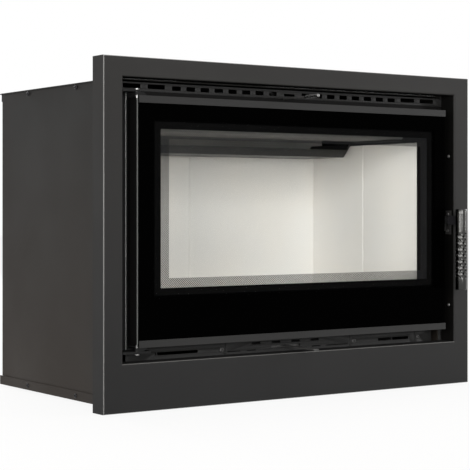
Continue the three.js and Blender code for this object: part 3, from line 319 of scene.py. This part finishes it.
def cast_iron(name, tone):
    """Sand-cast iron: pebbled skin with a few deeper pits."""
    s = Shader(name).set(Specular_IOR_Level=0.35)
    skin = s.noise(420, 4, 0.65)
    dark = tuple(c * 0.75 for c in tone)
    light = tuple(c * 1.3 for c in tone)
    s.colour(s.ramp(skin, (0.3, dark), (0.7, light)))
    s.rough(s.ramp(skin, (0.3, 0.55), (0.7, 0.75)))
    s.bump(skin, 0.5, 0.0006)
    s.bump(s.ramp(s.spots(260), (0.0, 0.0), (0.2, 1.0)), 0.3, 0.0004)
    return s.material


def vermiculite(name, tone):
    """Pressed vermiculite board: pale, with mineral flakes, fine pores and a soft unevenness."""
    s = Shader(name).set(Specular_IOR_Level=0.2)
    warm = tuple(c * f for c, f in zip(tone, (1.02, 1.0, 0.97)))
    cool = tuple(c * f for c, f in zip(tone, (0.96, 0.965, 0.965)))
    base = s.ramp(s.noise(5, 3), (0.3, cool), (0.7, warm))
    flakes = s.ramp(s.noise(850, 3, 0.7), (0.28, 0.88), (0.45, 0.985), (0.75, 1.03))
    s.colour(s.mix(1.0, base, flakes, "MULTIPLY"))
    s.rough(s.ramp(s.noise(60, 3), (0.3, 0.82), (0.7, 0.94)))
    s.bump(s.noise(650, 4, 0.7), 0.25, 0.0004)
    return s.material


def printed_glass(name, tone, level):
    """Ceramic print fired on the pane: even and glossy, with a trace of ripple."""
    s = Shader(name).set(Specular_IOR_Level=level, Roughness=0.06)
    s.colour(s.ramp(s.noise(900, 2), (0.3, tuple(c * 0.8 for c in tone)), (0.7, tone)))
    s.bump(s.noise(4, 2), 0.02, 0.0004)
    return s.material


DOT_LEVEL = -0.12  # lower makes the printed dots larger


def see_through(name, pitch=None):
    """Clear glass, or with a pitch the band of printed dots in offset rows over it."""
    s = Shader(name).set(Specular_IOR_Level=0.06, Roughness=0.05)
    s.colour(s.ramp(s.noise(20, 2), (0.3, (0.008, 0.008, 0.009)), (0.7, (0.012, 0.012, 0.012))))
    clear = s.node("ShaderNodeBsdfTransparent")
    clear.inputs["Color"].default_value = (0.97, 0.975, 0.97, 1)
    mix = s.node("ShaderNodeMixShader")
    s.link(clear.outputs[0], mix.inputs[1])
    s.link(s.main.outputs[0], mix.inputs[2])
    s.link(mix.outputs[0], s.out.inputs[0])
    if pitch is None:
        mix.inputs[0].default_value = 0.02
        return s.material
    split = s.node("ShaderNodeSeparateXYZ")
    s.link(s.place, split.inputs[0])
    waves = []
    for sign in (1, -1):
        add = s.node("ShaderNodeMath", operation="MULTIPLY_ADD")
        s.link(split.outputs["Z"], add.inputs[0])
        add.inputs[1].default_value = sign
        s.link(split.outputs["X"], add.inputs[2])
        turn = s.node("ShaderNodeMath", operation="MULTIPLY")
        turn.inputs[1].default_value = 2 * math.pi / (pitch * math.sqrt(2))
        s.link(add.outputs[0], turn.inputs[0])
        wave = s.node("ShaderNodeMath", operation="COSINE")
        s.link(turn.outputs[0], wave.inputs[0])
        waves.append(wave.outputs[0])
    total = s.node("ShaderNodeMath", operation="ADD")
    s.link(waves[0], total.inputs[0])
    s.link(waves[1], total.inputs[1])
    dots = s.node("ShaderNodeMath", operation="GREATER_THAN")
    s.link(total.outputs[0], dots.inputs[0])
    dots.inputs[1].default_value = DOT_LEVEL
    s.link(dots.outputs[0], mix.inputs[0])
    return s.material


def rope(name):
    """Braided glass-fibre rope: two crossing rows of strands and loose fluff."""
    s = Shader(name).set(Specular_IOR_Level=0.2, Sheen_Weight=0.3)
    weave = s.node("ShaderNodeTexWave", wave_type="BANDS", bands_direction="DIAGONAL")
    weave.inputs["Scale"].default_value = 260
    weave.inputs["Distortion"].default_value = 2
    s.link(s.place, weave.inputs["Vector"])
    s.colour(s.ramp(weave.outputs["Fac"], (0.1, (0.02, 0.02, 0.02)), (0.9, (0.075, 0.073, 0.07))))
    s.rough(s.ramp(s.noise(400), (0.3, 0.85), (0.7, 0.98)))
    s.bump(weave.outputs["Fac"], 0.6, 0.0008)
    return s.material


# front paint: darker towards the floor, a painted shade
paint = stove_paint("stove_paint", (0.0185, 0.0178, 0.0171), gloss=0.12, floor_tint=(0.7, 0.72, 0.75))
# casing paint: lighter and browner towards the floor, painted light from the floor's bounce
casing_paint = stove_paint("casing_paint", (0.0112, 0.0105, 0.0095), spread=0.1, gloss=0.15,
                           floor_tint=(1.9, 1.6, 1.4))
# painted shade: the black paint made darker for the door's frame, the recessed front plate and the firebox's
# shell and air boxes
shaded_paint = stove_paint("shaded_paint", (0.005, 0.0048, 0.0047), rough=0.6, gloss=0.05)
# painted shade: near-black paint for the surround's jambs and head, where little light reaches
jamb_shade_paint = stove_paint("jamb_shade_paint", (0.0045, 0.0043, 0.004), rough=0.6, gloss=0.02)
rail_paint = stove_paint("rail_paint", (0.0165, 0.0163, 0.016), grain=0.6, rough=0.5, gloss=0.14)
# painted highlight: pale paint for the lit folds and broken edges of the surround, rails and casing
highlight_paint = stove_paint("highlight_paint", (0.11, 0.108, 0.104), rough=0.38, gloss=0.5)
dark_sheet = rolled_steel("dark_sheet", (0.03, 0.029, 0.028))
clip_steel = rolled_steel("clip_steel", (0.012, 0.0117, 0.0113), rough=0.5, gloss=0.12)
# painted shade: the hinge parts made near black for the dark recess beside the door
hinge_sheet = rolled_steel("hinge_sheet", (0.007, 0.007, 0.007), rough=0.5, gloss=0.08)
arm_steel = rolled_steel("arm_steel", (0.012, 0.0115, 0.013), rough=0.35, gloss=0.2)
# painted highlight: a pale sheet for the hinge post's outer side and edges
post_highlight = rolled_steel("post_highlight_sheet", (0.6, 0.6, 0.585), rough=0.4)
satin = brushed_steel("satin_steel", (0.05, 0.0495, 0.048), rough=0.2)
turned = brushed_steel("turned_steel", (0.2, 0.197, 0.193), rough=0.24, axis=0)
edge_steel = brushed_steel("edge_steel", (0.26, 0.258, 0.25), rough=0.34)
iron = cast_iron("cast_iron", (0.03, 0.03, 0.031))
board = vermiculite("vermiculite", (0.93, 0.908, 0.882))
# painted shade: the same vermiculite made darker for the baffle's shaded underside
baffle_shade_board = vermiculite("baffle_shade_board", (0.4, 0.39, 0.38))
rope_black = rope("seal_rope")
print_black = printed_glass("glass_print", (0.0003, 0.0003, 0.0003), 0.003)
print_band = printed_glass("glass_band", (0.0028, 0.0028, 0.0028), 0.004)
# painted highlight: the pane's polished rim in pale grey
glass_edge_highlight = printed_glass("glass_edge_highlight", (0.14, 0.144, 0.14), 0.5)
glass_clear = see_through("glass_clear")
glass_dots = see_through("glass_dots", pitch=0.00276)

# The finish of each CAD node: by its own name first, else by its material slot.
SLOT_FINISH = {
    "black_steel": paint,
    "bare_steel": dark_sheet,
    "satin_steel": satin,
    "cast_iron": iron,
    "vermiculite": board,
    "door_glass": print_black,
    "seal_rope": rope_black,
}
FINISHED_NODES = (
    # painted shade on the door's frame and back, the front plate and the firebox
    (shaded_paint, ("door_frame", "door_back_plate", "front_plate", "firebox_shell", "secondary_air_box",
                   "air_box")),
    (rail_paint, ("door_bottom_rail", "door_top_rail")),
    (casing_paint, ("casing_left_side", "casing_right_side", "casing_top", "casing_back", "base_pan")),
    (hinge_sheet, ("hinge_bracket_upper", "hinge_bracket_lower", "hinge_post", "hinge_lug_upper",
                   "hinge_lug_lower", "latch_bush", "rod_guide")),
    (arm_steel, ("handle_arm",)),
    (turned, ("hinge_pin_upper", "hinge_pin_lower")),
    (baffle_shade_board, ("upper_baffle",)),
)
NODE_FINISH = {node: finish for finish, names in FINISHED_NODES for node in names}

# Nodes with broken edges, and the finish on the break; None is the node's own finish. Pale paint there is a
# painted highlight on the lit edges.
EDGE_FINISH = {
    # painted highlight: the slide's edges in bright steel stand for its lit edges
    "primary_air_slide": edge_steel,
    "hinge_post": post_highlight,
    "latch_keeper": arm_steel,
    "door_top_rail": highlight_paint,
    "door_bottom_rail": highlight_paint,
    "casing_left_side": highlight_paint,
    "casing_top": highlight_paint,
    "base_pan": highlight_paint,
    "casing_right_side": None,
    "handle_arm": None,
    "door_frame": None,
    "front_plate": None,
    "grate": None,
    "log_guard": None,
}
EDGE_BREAK = 0.0003


def finish_nodes():
    for part in frame["record"]["subparts"]:
        name = part["node"]
        mesh = nodes[name].data
        finish = NODE_FINISH.get(name) or SLOT_FINISH[part["material_slot"]]
        mesh.materials.clear()
        mesh.materials.append(finish)
        if name in EDGE_FINISH:
            mesh.materials.append(EDGE_FINISH[name] or finish)
            bevel = nodes[name].modifiers.new("edges", "BEVEL")
            bevel.width = EDGE_BREAK
            bevel.segments = 1
            bevel.material = 1
            bevel.limit_method = "ANGLE"
            bevel.angle_limit = math.radians(50)
    # The post's outer side gets the pale sheet, a painted highlight.
    for polygon in nodes["hinge_post"].data.polygons:
        if polygon.normal.x < -0.9:
            polygon.material_index = 1


finish_nodes()


# ---------------------------------------------------------------- mesh helpers
def piece(name, verts, faces, finish, body, pick=None, smooth=35):
    """A mesh object from millimetre points, riding on a body.

    finish is a material or a list of them, and pick then gives each face's place in that list.
    """
    mesh = bpy.data.meshes.new(name)
    mesh.from_pydata([(x * MM, y * MM, z * MM) for x, y, z in verts], [], faces)
    for one in finish if isinstance(finish, list) else [finish]:
        mesh.materials.append(one)
    if pick:
        for index, polygon in enumerate(mesh.polygons):
            polygon.material_index = pick[index]
    mesh.validate()
    mesh.update()
    made = bpy.data.objects.new(name, mesh)
    bpy.context.scene.collection.objects.link(made)
    for polygon in mesh.polygons:
        polygon.use_smooth = True
    bpy.context.view_layer.objects.active = made
    made.select_set(True)
    bpy.ops.object.shade_smooth_by_angle(angle=math.radians(smooth))
    made.select_set(False)
    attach(made, body)
    return made


def lathe(profile, sides):
    """A profile of (radius, height) turned round Z; a radius of 0 makes a single point."""
    verts, rings, faces = [], [], []
    for radius, height in profile:
        if radius == 0:
            rings.append([len(verts)])
            verts.append((0, 0, height))
            continue
        rings.append(list(range(len(verts), len(verts) + sides)))
        for k in range(sides):
            turn = 2 * math.pi * k / sides
            verts.append((radius * math.cos(turn), radius * math.sin(turn), height))
    for a, b in zip(rings, rings[1:]):
        for k in range(sides):
            n = (k + 1) % sides
            quad = [a[k % len(a)], a[n % len(a)], b[n % len(b)], b[k % len(b)]]
            unique = list(dict.fromkeys(quad))
            if len(unique) > 2:
                faces.append(tuple(unique))
    return verts, faces


def turned_to(verts, axis, where):
    """Points with their Z turned to axis, then moved to where."""
    spin = Vector((0, 0, 1)).rotation_difference(Vector(axis)).to_matrix()
    return [tuple(spin @ Vector(p) + Vector(where)) for p in verts]


def screw(name, where, axis, head, rise, finish):
    """A button-head screw with a six-lobed recess; where is on the face that it sits on."""
    sides, lobes = 36, 6
    bit, depth = head * 0.46, rise * 0.75
    verts, faces = [], []

    def ring(radius, height, wavy=0.0):
        """A ring of points, its radius waving once for each lobe."""
        start = len(verts)
        for k in range(sides):
            turn = 2 * math.pi * k / sides
            r = radius * (1 + wavy * math.cos(lobes * turn))
            verts.append((r * math.cos(turn), r * math.sin(turn), height))
        return list(range(start, start + sides))

    rings = [ring(head, -0.15), ring(head, rise * 0.25), ring(head * 0.9, rise * 0.68),
             ring(head * 0.72, rise * 0.93), ring(bit * 1.12, rise, 0.1), ring(bit, rise - 0.12, 0.16),
             ring(bit * 0.94, rise - depth, 0.16)]
    for a, b in zip(rings, rings[1:]):
        for k in range(sides):
            n = (k + 1) % sides
            faces.append((a[k], a[n], b[n], b[k]))
    faces.append(tuple(reversed(rings[0])))
    faces.append(tuple(rings[-1]))
    piece(name, turned_to(verts, axis, where), faces, finish, "insert_body")


def strip(name, loops, front, back, node):
    """Flat sheet in the XZ plane from outlines, of which the inner ones are holes; its edges are broken."""
    outline = bpy.data.curves.new(name, "CURVE")
    outline.dimensions = "2D"
    outline.fill_mode = "BOTH"
    outline.extrude = (back - front) / 2 * MM
    for loop in loops:
        spline = outline.splines.new("POLY")
        spline.points.add(len(loop) - 1)
        for point, (x, z) in zip(spline.points, loop):
            point.co = (x * MM, z * MM, 0, 1)
        spline.use_cyclic_u = True
    flat = bpy.data.objects.new(name, outline)
    mesh = bpy.data.meshes.new_from_object(flat)
    bpy.data.objects.remove(flat)
    upright = Matrix.Rotation(math.pi / 2, 4, "X")
    mesh.transform(Matrix.Translation((0, (front + back) / 2 * MM, 0)) @ upright)
    verts = [tuple(c / MM for c in v.co) for v in mesh.vertices]
    faces = [tuple(polygon.vertices) for polygon in mesh.polygons]
    made = piece(name, verts, faces, rail_paint, "insert_body")
    weld = made.modifiers.new("weld", "WELD")
    weld.merge_threshold = 0.00001
    bevel = made.modifiers.new("edges", "BEVEL")
    bevel.width = EDGE_BREAK
    bevel.segments = 1
    bevel.limit_method = "ANGLE"
    bevel.angle_limit = math.radians(40)
    if node:
        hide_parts(node)


def rectangle(x0, x1, z0, z1):
    return [(x0, z0), (x1, z0), (x1, z1), (x0, z1)]


def slot_outline(x, z, length, height, radius=1.4):
    """A slot with small round corners."""
    points = []
    for sx, sz, start in ((1, 1, 0), (-1, 1, 90), (-1, -1, 180), (1, -1, 270)):
        for turn in (0, 30, 60, 90):
            a = math.radians(start + turn)
            points.append((x + sx * (length / 2 - radius) + radius * math.cos(a),
                           z + sz * (height / 2 - radius) + radius * math.sin(a)))
    return points


def round_hole(x, z, radius, sides=20):
    return [(x + radius * math.cos(2 * math.pi * k / sides), z + radius * math.sin(2 * math.pi * k / sides))
            for k in range(sides)]


# ---------------------------------------------------------------- slotted strips
STRIP_FRONT, STRIP_BACK = -193.7, -192.1
SCREW_X, END_SCREW_X, SCREW_Z = 146.3, 303, 89  # the screws in the lower strips
SCREW_HOLE = 2.5


def upper_strip():
    """The strip over the door: rows of slots, a notch for the air rod and a fold along its top."""
    low, high, tab_top = 527.0, 542.0, 547.0
    end, tab_side, fold_end, fold_back = 366.0, 360.3, 354.5, -179.7
    rod_x, rod_z, rod_gap = -12, 526.5, 2.6
    notch = [(rod_x + rod_gap * math.cos(a), rod_z + rod_gap * math.sin(a))
             for a in (math.radians(12 + 12 * k) for k in range(14))]
    tabs = [(end, low), (end, tab_top), (tab_side, tab_top), (tab_side, high),
            (-tab_side, high), (-tab_side, tab_top), (-end, tab_top), (-end, low), (notch[-1][0], low)]
    holes = [slot_outline(0, 533.5, 24, 4.4)]
    for side in (-1, 1):
        holes += [slot_outline(side * (326 - 48 * n), 535.6, 34, 7.4) for n in range(2)]
        holes += [slot_outline(side * (238 - 28.8 * n), 534.5, 18, 7.4) for n in range(8)]
    outline = [(notch[0][0], low), *tabs, *reversed(notch)]
    strip("strip_upper", [outline, *holes], STRIP_FRONT, STRIP_BACK, "upper_grille")
    thickness = STRIP_BACK - STRIP_FRONT
    strip("strip_upper_fold", [rectangle(-fold_end, fold_end, high - thickness, high)], STRIP_BACK, fold_back,
          None)


def lower_strips():
    """The strips under the door: a cover for the air control and a length on each side of it."""
    low, high = 66.0, 100.7
    end, joint, cover_end = 338, 139, 138
    left = [rectangle(-end, -joint, low, high), slot_outline(-238, SCREW_Z, 86, 5),
            round_hole(-SCREW_X, SCREW_Z, SCREW_HOLE)]
    right = [rectangle(joint, 297, low, high), slot_outline(243, SCREW_Z, 74, 5),
             round_hole(SCREW_X, SCREW_Z, SCREW_HOLE),
             rectangle(298, end, low, high), round_hole(END_SCREW_X, SCREW_Z, SCREW_HOLE)]
    centre = [rectangle(-cover_end, cover_end, low, high)]
    centre += [slot_outline(-8 + (n - 1.5) * 43.2, 96.6, 19, 4.2, 1) for n in range(4)]
    centre += [slot_outline(x, 84.7, 88, 1.4, 0.6) for x in (-90, 90)]
    centre.append(rectangle(-40, 24, 86.5, 90.5))  # the lever's way
    for hand, outlines in (("left", left), ("right", right), ("centre", centre)):
        strip(f"strip_{hand}", outlines, STRIP_FRONT, STRIP_BACK, f"lower_strip_{hand}")


upper_strip()
lower_strips()


# ---------------------------------------------------------------- clips behind the surround
CLIP_SHEET, CLIP_BEND = 2.0, 3


def sheet_run(path, thickness, low, high):
    """A folded sheet standing on Z: its path in X and Y, thickened to the left, with rounded bends."""
    smooth = [Vector(path[0])]
    for before, at, after in zip(path, path[1:], path[2:]):
        a, b, c = Vector(before), Vector(at), Vector(after)
        reach = min(CLIP_BEND, (a - b).length / 2, (c - b).length / 2)
        back, on = (a - b).normalized() * reach, (c - b).normalized() * reach
        for t in (0, 0.33, 0.67, 1):  # along a curve that touches both legs
            smooth.append((b + back) * (1 - t) ** 2 + b * 2 * t * (1 - t) + (b + on) * t * t)
    smooth.append(Vector(path[-1]))
    verts, count = [], len(smooth)
    for z in (low, high):
        for shift in (0, thickness):
            for k, at in enumerate(smooth):
                run = (smooth[min(k + 1, count - 1)] - smooth[max(k - 1, 0)]).normalized()
                verts.append((at.x - run.y * shift, at.y + run.x * shift, z))
    faces = []
    for k in range(count - 1):
        a, b, c, d = k, k + count, k + 2 * count, k + 3 * count
        faces += [(a, a + 1, c + 1, c), (b + 1, b, d, d + 1), (a, b, b + 1, a + 1), (c, c + 1, d + 1, d)]
    for k in (0, count - 1):
        end = (k, k + 2 * count, k + 3 * count, k + count)
        faces.append(end if k == 0 else tuple(reversed(end)))
    return verts, faces


def frame_clips():
    """Joggled clips between the surround and the casing, their front legs taller than the rest."""
    low, front_top, rear_top = 50, 556, 544.8
    front_leg = [(366.3, -224), (366.3, -189.4), (360.7, -183.8)]
    rear_leg = [(360.6, -183.7), (358.5, -181.6), (358.5, -135.6)]
    for side, hand in ((-1, "left"), (1, "right")):
        verts, faces = [], []
        for leg, top in ((front_leg, front_top), (rear_leg, rear_top)):
            points, quads = sheet_run([(side * x, y) for x, y in leg], -side * CLIP_SHEET, low, top)
            faces += [tuple(i + len(verts) for i in quad) for quad in quads]
            verts += points
        made = piece(f"clip_{hand}", verts, faces, clip_steel, "insert_body")
        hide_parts(f"frame_clip_{hand}")


frame_clips()


# ---------------------------------------------------------------- seal rope
def seal_rope():
    """Twisted rope pressed flat in its place round the door's back."""
    half_x, low, high, corner = 321.0, 149.0, 500.0, 11.0
    y_mid, reach, flat = -195.35, 4.9, 1.3  # its middle, half width and half thickness
    strands, groove = 3, 0.13
    path = []
    for sx, z, start in ((1, high, 0), (-1, high, 90), (-1, low, 180), (1, low, 270)):
        centre = (sx * (half_x - corner), z - corner if z == high else z + corner)
        for k in range(7):
            a = math.radians(start + 15 * k)
            path.append((centre[0] + corner * math.cos(a), centre[1] + corner * math.sin(a)))
    dense = []
    for k, (x, z) in enumerate(path):
        nx, nz = path[(k + 1) % len(path)]
        parts = max(1, round(math.hypot(nx - x, nz - z) / 5))
        dense += [(x + (nx - x) * t / parts, z + (nz - z) * t / parts) for t in range(parts)]
    count, around = len(dense), 14
    twists = round(count / 6)
    verts, faces = [], []
    for k, (x, z) in enumerate(dense):
        ax, az = dense[k - 1]
        bx, bz = dense[(k + 1) % count]
        run = Vector((bx - ax, bz - az)).normalized()
        for m in range(around):
            a = 2 * math.pi * m / around
            strand = 1 - groove * abs(math.sin(strands / 2 * a + math.pi * k * twists / count))
            out = reach * math.cos(a) * strand
            verts.append((x + run.y * out, y_mid + flat * math.sin(a) * strand, z - run.x * out))
    for k in range(count):
        n = (k + 1) % count
        for m in range(around):
            j = (m + 1) % around
            faces.append((k * around + m, n * around + m, n * around + j, k * around + j))
    made = piece("rope_seal", verts, faces, rope_black, "door", smooth=60)
    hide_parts("door_seal")


seal_rope()


# ---------------------------------------------------------------- surround frame
def surround():
    """The folded channel round the opening, with rounded folds; painted highlights lie on the outer fold and
    the sill's fold, painted shade on the jambs and the head.
    """
    outer = (-400.0, 400.0, 0.0, 580.0)
    inner = (-364.0, 364.0, 80.0, 547.0)
    front, back, thickness, bend = -230.0, -194.0, 2.0, 3.0
    ease = 0.6  # flat strip beside each fold, which keeps the shading of the faces even
    steps = 5

    def fold(rect, way, radius):
        """A fold's points from the flange to the face: rectangle, offset inside it and depth."""
        turns = [math.pi / 2 * k / steps for k in range(steps + 1)]
        return [(rect, way * (bend - radius * math.cos(t)), front + bend - radius * math.sin(t)) for t in turns]

    section = [(outer, 0.0, back), (outer, 0.0, front + bend + ease)]
    outer_fold = len(section)
    section += fold(outer, 1, bend)
    section += [(outer, bend + ease, front), (inner, -bend - ease, front)]
    inner_fold = len(section)
    section += reversed(fold(inner, -1, bend))
    jamb = len(section)
    section += [(inner, 0.0, front + bend + ease), (inner, 0.0, back), (inner, -thickness, back)]
    section += fold(inner, -1, bend - thickness)
    section += reversed(fold(outer, 1, bend - thickness))
    section += [(outer, thickness, back)]

    def finish_at(k, side):
        """0 paint, 1 painted highlight on the folds, 2 painted shade on the inner faces of the jambs and the
        head; side 0 is the sill.
        """
        if k in (outer_fold + 1, outer_fold + 2) or side == 0 and k in (inner_fold + 2, inner_fold + 3):
            return 1
        return 2 if side and k in (jamb, jamb + 1) else 0

    verts, faces, pick = [], [], []
    for rect, offset, depth in section:
        x0, x1, z0, z1 = rect[0] + offset, rect[1] - offset, rect[2] + offset, rect[3] - offset
        verts += [(x0, depth, z0), (x1, depth, z0), (x1, depth, z1), (x0, depth, z1)]
    for k in range(len(section)):
        n = (k + 1) % len(section)
        for side in range(4):
            end = (side + 1) % 4
            faces.append((4 * k + side, 4 * n + side, 4 * n + end, 4 * k + end))
            pick.append(finish_at(k, side))
    finishes = [paint, highlight_paint, jamb_shade_paint]
    made = piece("surround", verts, faces, finishes, "insert_body", pick=pick)
    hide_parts("surround_frame")


surround()


# ---------------------------------------------------------------- door glass
RIM_FINISH = 4


def slab_with_zones(xs, ys, zs, zone):
    """A pane from xs[0] to xs[-1] and zs[0] to zs[-1], split at the given lines.

    zone gives the finish of the front and of the back in each cell; the rim has RIM_FINISH.
    """
    verts, faces, pick = [], [], []
    front, back = {}, {}
    for i, x in enumerate(xs):
        for k, z in enumerate(zs):
            front[i, k] = len(verts)
            verts.append((x, ys[0], z))
            back[i, k] = len(verts)
            verts.append((x, ys[1], z))
    for i in range(len(xs) - 1):
        for k in range(len(zs) - 1):
            outside, inside = zone(i, k)
            faces.append((front[i, k], front[i + 1, k], front[i + 1, k + 1], front[i, k + 1]))
            faces.append((back[i, k], back[i, k + 1], back[i + 1, k + 1], back[i + 1, k]))
            pick += [outside, inside]
    last_x, last_z = len(xs) - 1, len(zs) - 1
    for i in range(last_x):
        faces.append((front[i, 0], back[i, 0], back[i + 1, 0], front[i + 1, 0]))
        faces.append((front[i, last_z], front[i + 1, last_z], back[i + 1, last_z], back[i, last_z]))
        pick += [RIM_FINISH, RIM_FINISH]
    for k in range(last_z):
        faces.append((front[0, k], front[0, k + 1], back[0, k + 1], back[0, k]))
        faces.append((front[last_x, k], back[last_x, k], back[last_x, k + 1], front[last_x, k + 1]))
        pick += [RIM_FINISH, RIM_FINISH]
    return verts, faces, pick


def make_glass():
    """The pane: print, a paler band, dots and the clear field on its back, and clear glass in front."""
    lo, hi = [[c / MM for c in corner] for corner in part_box("door_glass")]
    left, right, low, high = -290.8, 295.4, 201.0, 463.7  # the window's edges

    def lines(start, end):
        """Where the zones change: the clear front's edge, the band's two edges, then the dots' end."""
        cover, band, dots = 16.5, 12.0, 16.0
        return [start - cover, start - band, start, start + dots, end - dots, end, end + band, end + cover]

    xs = [lo[0], *lines(left, right), hi[0]]
    zs = [lo[2], *lines(low, high), hi[2]]
    last = len(xs) - 2

    def zone(i, k):
        """Finish of the front and of the printed back in a cell, by its distance from the rim."""
        deep = min(i, k, last - i, last - k)
        return (0 if deep == 0 else 3), (0, 0, 1, 2, 3)[deep]

    verts, faces, pick = slab_with_zones(xs, (lo[1], hi[1]), zs, zone)
    finishes = [print_black, print_band, glass_dots, glass_clear, glass_edge_highlight]
    made = piece("glass_pane", verts, faces, finishes, "door", pick=pick)
    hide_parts("door_glass")


make_glass()


# ---------------------------------------------------------------- handle tube
def perforated_tube():
    """The handle: a tube with staggered rows of round holes, a ring groove and closed ends."""
    axis_x, axis_y = 351, -262
    outer, inner = 10.5, 9.0
    bottom, top, wall = 180.0, 331.0, 3
    rows, pitch, first = 15, 5.75, 285.4
    hole, per_row = 2.3, 5
    lip_width, lip_depth = 0.25, 0.18
    span, rise = 8, 2  # steps across and up one hole's cell
    cell = 2 * math.pi / per_row
    hub = 0.001  # radius that stands for an end's centre
    verts, faces, where = [], [], {}

    def point(radius, turn, height):
        """The point's number; points that meet are made once."""
        key = (round(radius, 3), round(turn % (2 * math.pi), 5), round(height, 3))
        if key[1] >= round(2 * math.pi, 5):
            key = (key[0], 0.0, key[2])
        if key not in where:
            where[key] = len(verts)
            verts.append((radius * math.cos(turn), radius * math.sin(turn), height))
        return where[key]

    def quad(loop, inward):
        loop = list(dict.fromkeys(loop))
        if len(loop) > 2:
            faces.append(tuple(reversed(loop)) if inward else tuple(loop))

    def bands(line, inward=False):
        """Plain rings between the heights and radii of a line."""
        steps = span * per_row
        for (low, low_radius), (high, high_radius) in zip(line, line[1:]):
            for k in range(steps):
                a, b = 2 * math.pi * k / steps, 2 * math.pi * (k + 1) / steps
                quad([point(low_radius, a, low), point(low_radius, b, low),
                      point(high_radius, b, high), point(high_radius, a, high)], inward)

    def hole_cell(level, turn):
        """One hole with the rectangle of tube round it: both skins, the broken rim and the hole's wall."""
        low, high = level - pitch / 2, level + pitch / 2
        left, right = turn - cell / 2, turn + cell / 2
        edge = [(left + cell * k / span, low) for k in range(span)]
        edge += [(right, low + pitch * k / rise) for k in range(rise)]
        edge += [(right - cell * k / span, high) for k in range(span)]
        edge += [(left, high - pitch * k / rise) for k in range(rise)]
        around = [math.atan2(height - level, (at - turn) * outer) for at, height in edge]

        def ring(radius, size):
            return [point(radius, turn + math.cos(v) * size / outer, level + math.sin(v) * size)
                    for v in around]

        border, inner_border = ([point(radius, *spot) for spot in edge] for radius in (outer, inner))
        rim = ring(outer, hole + lip_width)
        lip = ring(outer - lip_depth, hole)
        inner_lip = ring(inner, hole)
        for k in range(len(edge)):
            n = (k + 1) % len(edge)
            quad([border[k], border[n], rim[n], rim[k]], False)
            quad([rim[k], rim[n], lip[n], lip[k]], False)
            quad([inner_border[k], inner_border[n], inner_lip[n], inner_lip[k]], True)
            faces.append((lip[k], lip[n], inner_lip[n], inner_lip[k]))

    for row in range(rows):
        for n in range(per_row):
            hole_cell(first - row * pitch, n * cell + (cell / 2 if row % 2 else 0))
    upper = first + pitch / 2
    lower = first - (rows - 0.5) * pitch
    groove = outer - 0.5
    bands([(upper, outer), (300, outer), (320.3, outer), (320.5, groove), (321.5, groove), (321.7, outer),
           (top - 0.9, outer), (top - 0.3, outer - 0.3), (top, outer - 0.9), (top, hub)])
    bands([(bottom, hub), (bottom, outer - 0.9), (bottom + 0.3, outer - 0.3), (bottom + 0.9, outer),
           (lower, outer)])
    bands([(upper, inner), (top - wall, inner), (top - wall, hub)], inward=True)
    bands([(bottom + wall, hub), (bottom + wall, inner), (lower, inner)], inward=True)
    made = piece("handle_sleeve", [(x + axis_x, y + axis_y, z) for x, y, z in verts], faces,
                 satin, "latch")
    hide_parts("handle_tube")


perforated_tube()


# ---------------------------------------------------------------- air grip
def ribbed_grip():
    """The upper control's grip: turned steel with close ribs, a rounded nose and a collar."""
    lo, hi = [[c / MM for c in corner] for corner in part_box("secondary_air_grip")]
    length = hi[1] - lo[1]
    crest, valley, rib = 2.9, 2.45, 1.3
    profile = [(0, 0), (1.6, 0), (2.3, 0.4), (2.7, 1.2)]
    at = 2.0
    while at + rib < length - 3:
        profile += [(crest, at), (crest, at + rib * 0.5), (valley, at + rib * 0.62), (valley, at + rib * 0.9)]
        at += rib
    profile += [(2.5, length - 2.6), (2.1, length - 2.2), (2.1, length - 1), (1.9, length), (0, length)]
    verts, faces = lathe(profile, 32)
    x, z = (lo[0] + hi[0]) / 2, (lo[2] + hi[2]) / 2
    made = piece("air_grip", turned_to(verts, (0, 1, 0), (x, lo[1], z)), faces, turned,
                 "secondary_air")
    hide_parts("secondary_air_grip")


ribbed_grip()


# ---------------------------------------------------------------- screws
JAMB_X, JAMB_SCREW_Y = 364, -214
CASING_X = 360


def screws():
    """Screws in the jambs, the casing's sides, the lower strips and the keeper."""
    for side, hand in ((-1, "left"), (1, "right")):
        for spot, z in enumerate((148.5, 431.5)):
            screw(f"jamb_screw_{hand}_{spot}", (side * JAMB_X, JAMB_SCREW_Y, z), (-side, 0, 0),
                  head=3.2, rise=1.8, finish=edge_steel)
        for spot, (y, z) in enumerate(((-64, 540), (116, 540), (-64, 11.5), (116, 11.5))):
            screw(f"casing_screw_{hand}_{spot}", (side * CASING_X, y, z), (side, 0, 0),
                  head=4.2, rise=1.6, finish=arm_steel)
        screw(f"strip_screw_{hand}", (side * SCREW_X, STRIP_FRONT, SCREW_Z), (0, -1, 0),
              head=4.6, rise=2.0, finish=dark_sheet)
    screw("strip_end_screw", (END_SCREW_X, STRIP_FRONT, SCREW_Z), (0, -1, 0),
          head=4.2, rise=1.8, finish=dark_sheet)
    for spot, z in enumerate((290, 321)):
        screw(f"keeper_screw_{spot}", (361.9, JAMB_SCREW_Y, z), (-1, 0, 0), head=3, rise=1.2, finish=edge_steel)


screws()
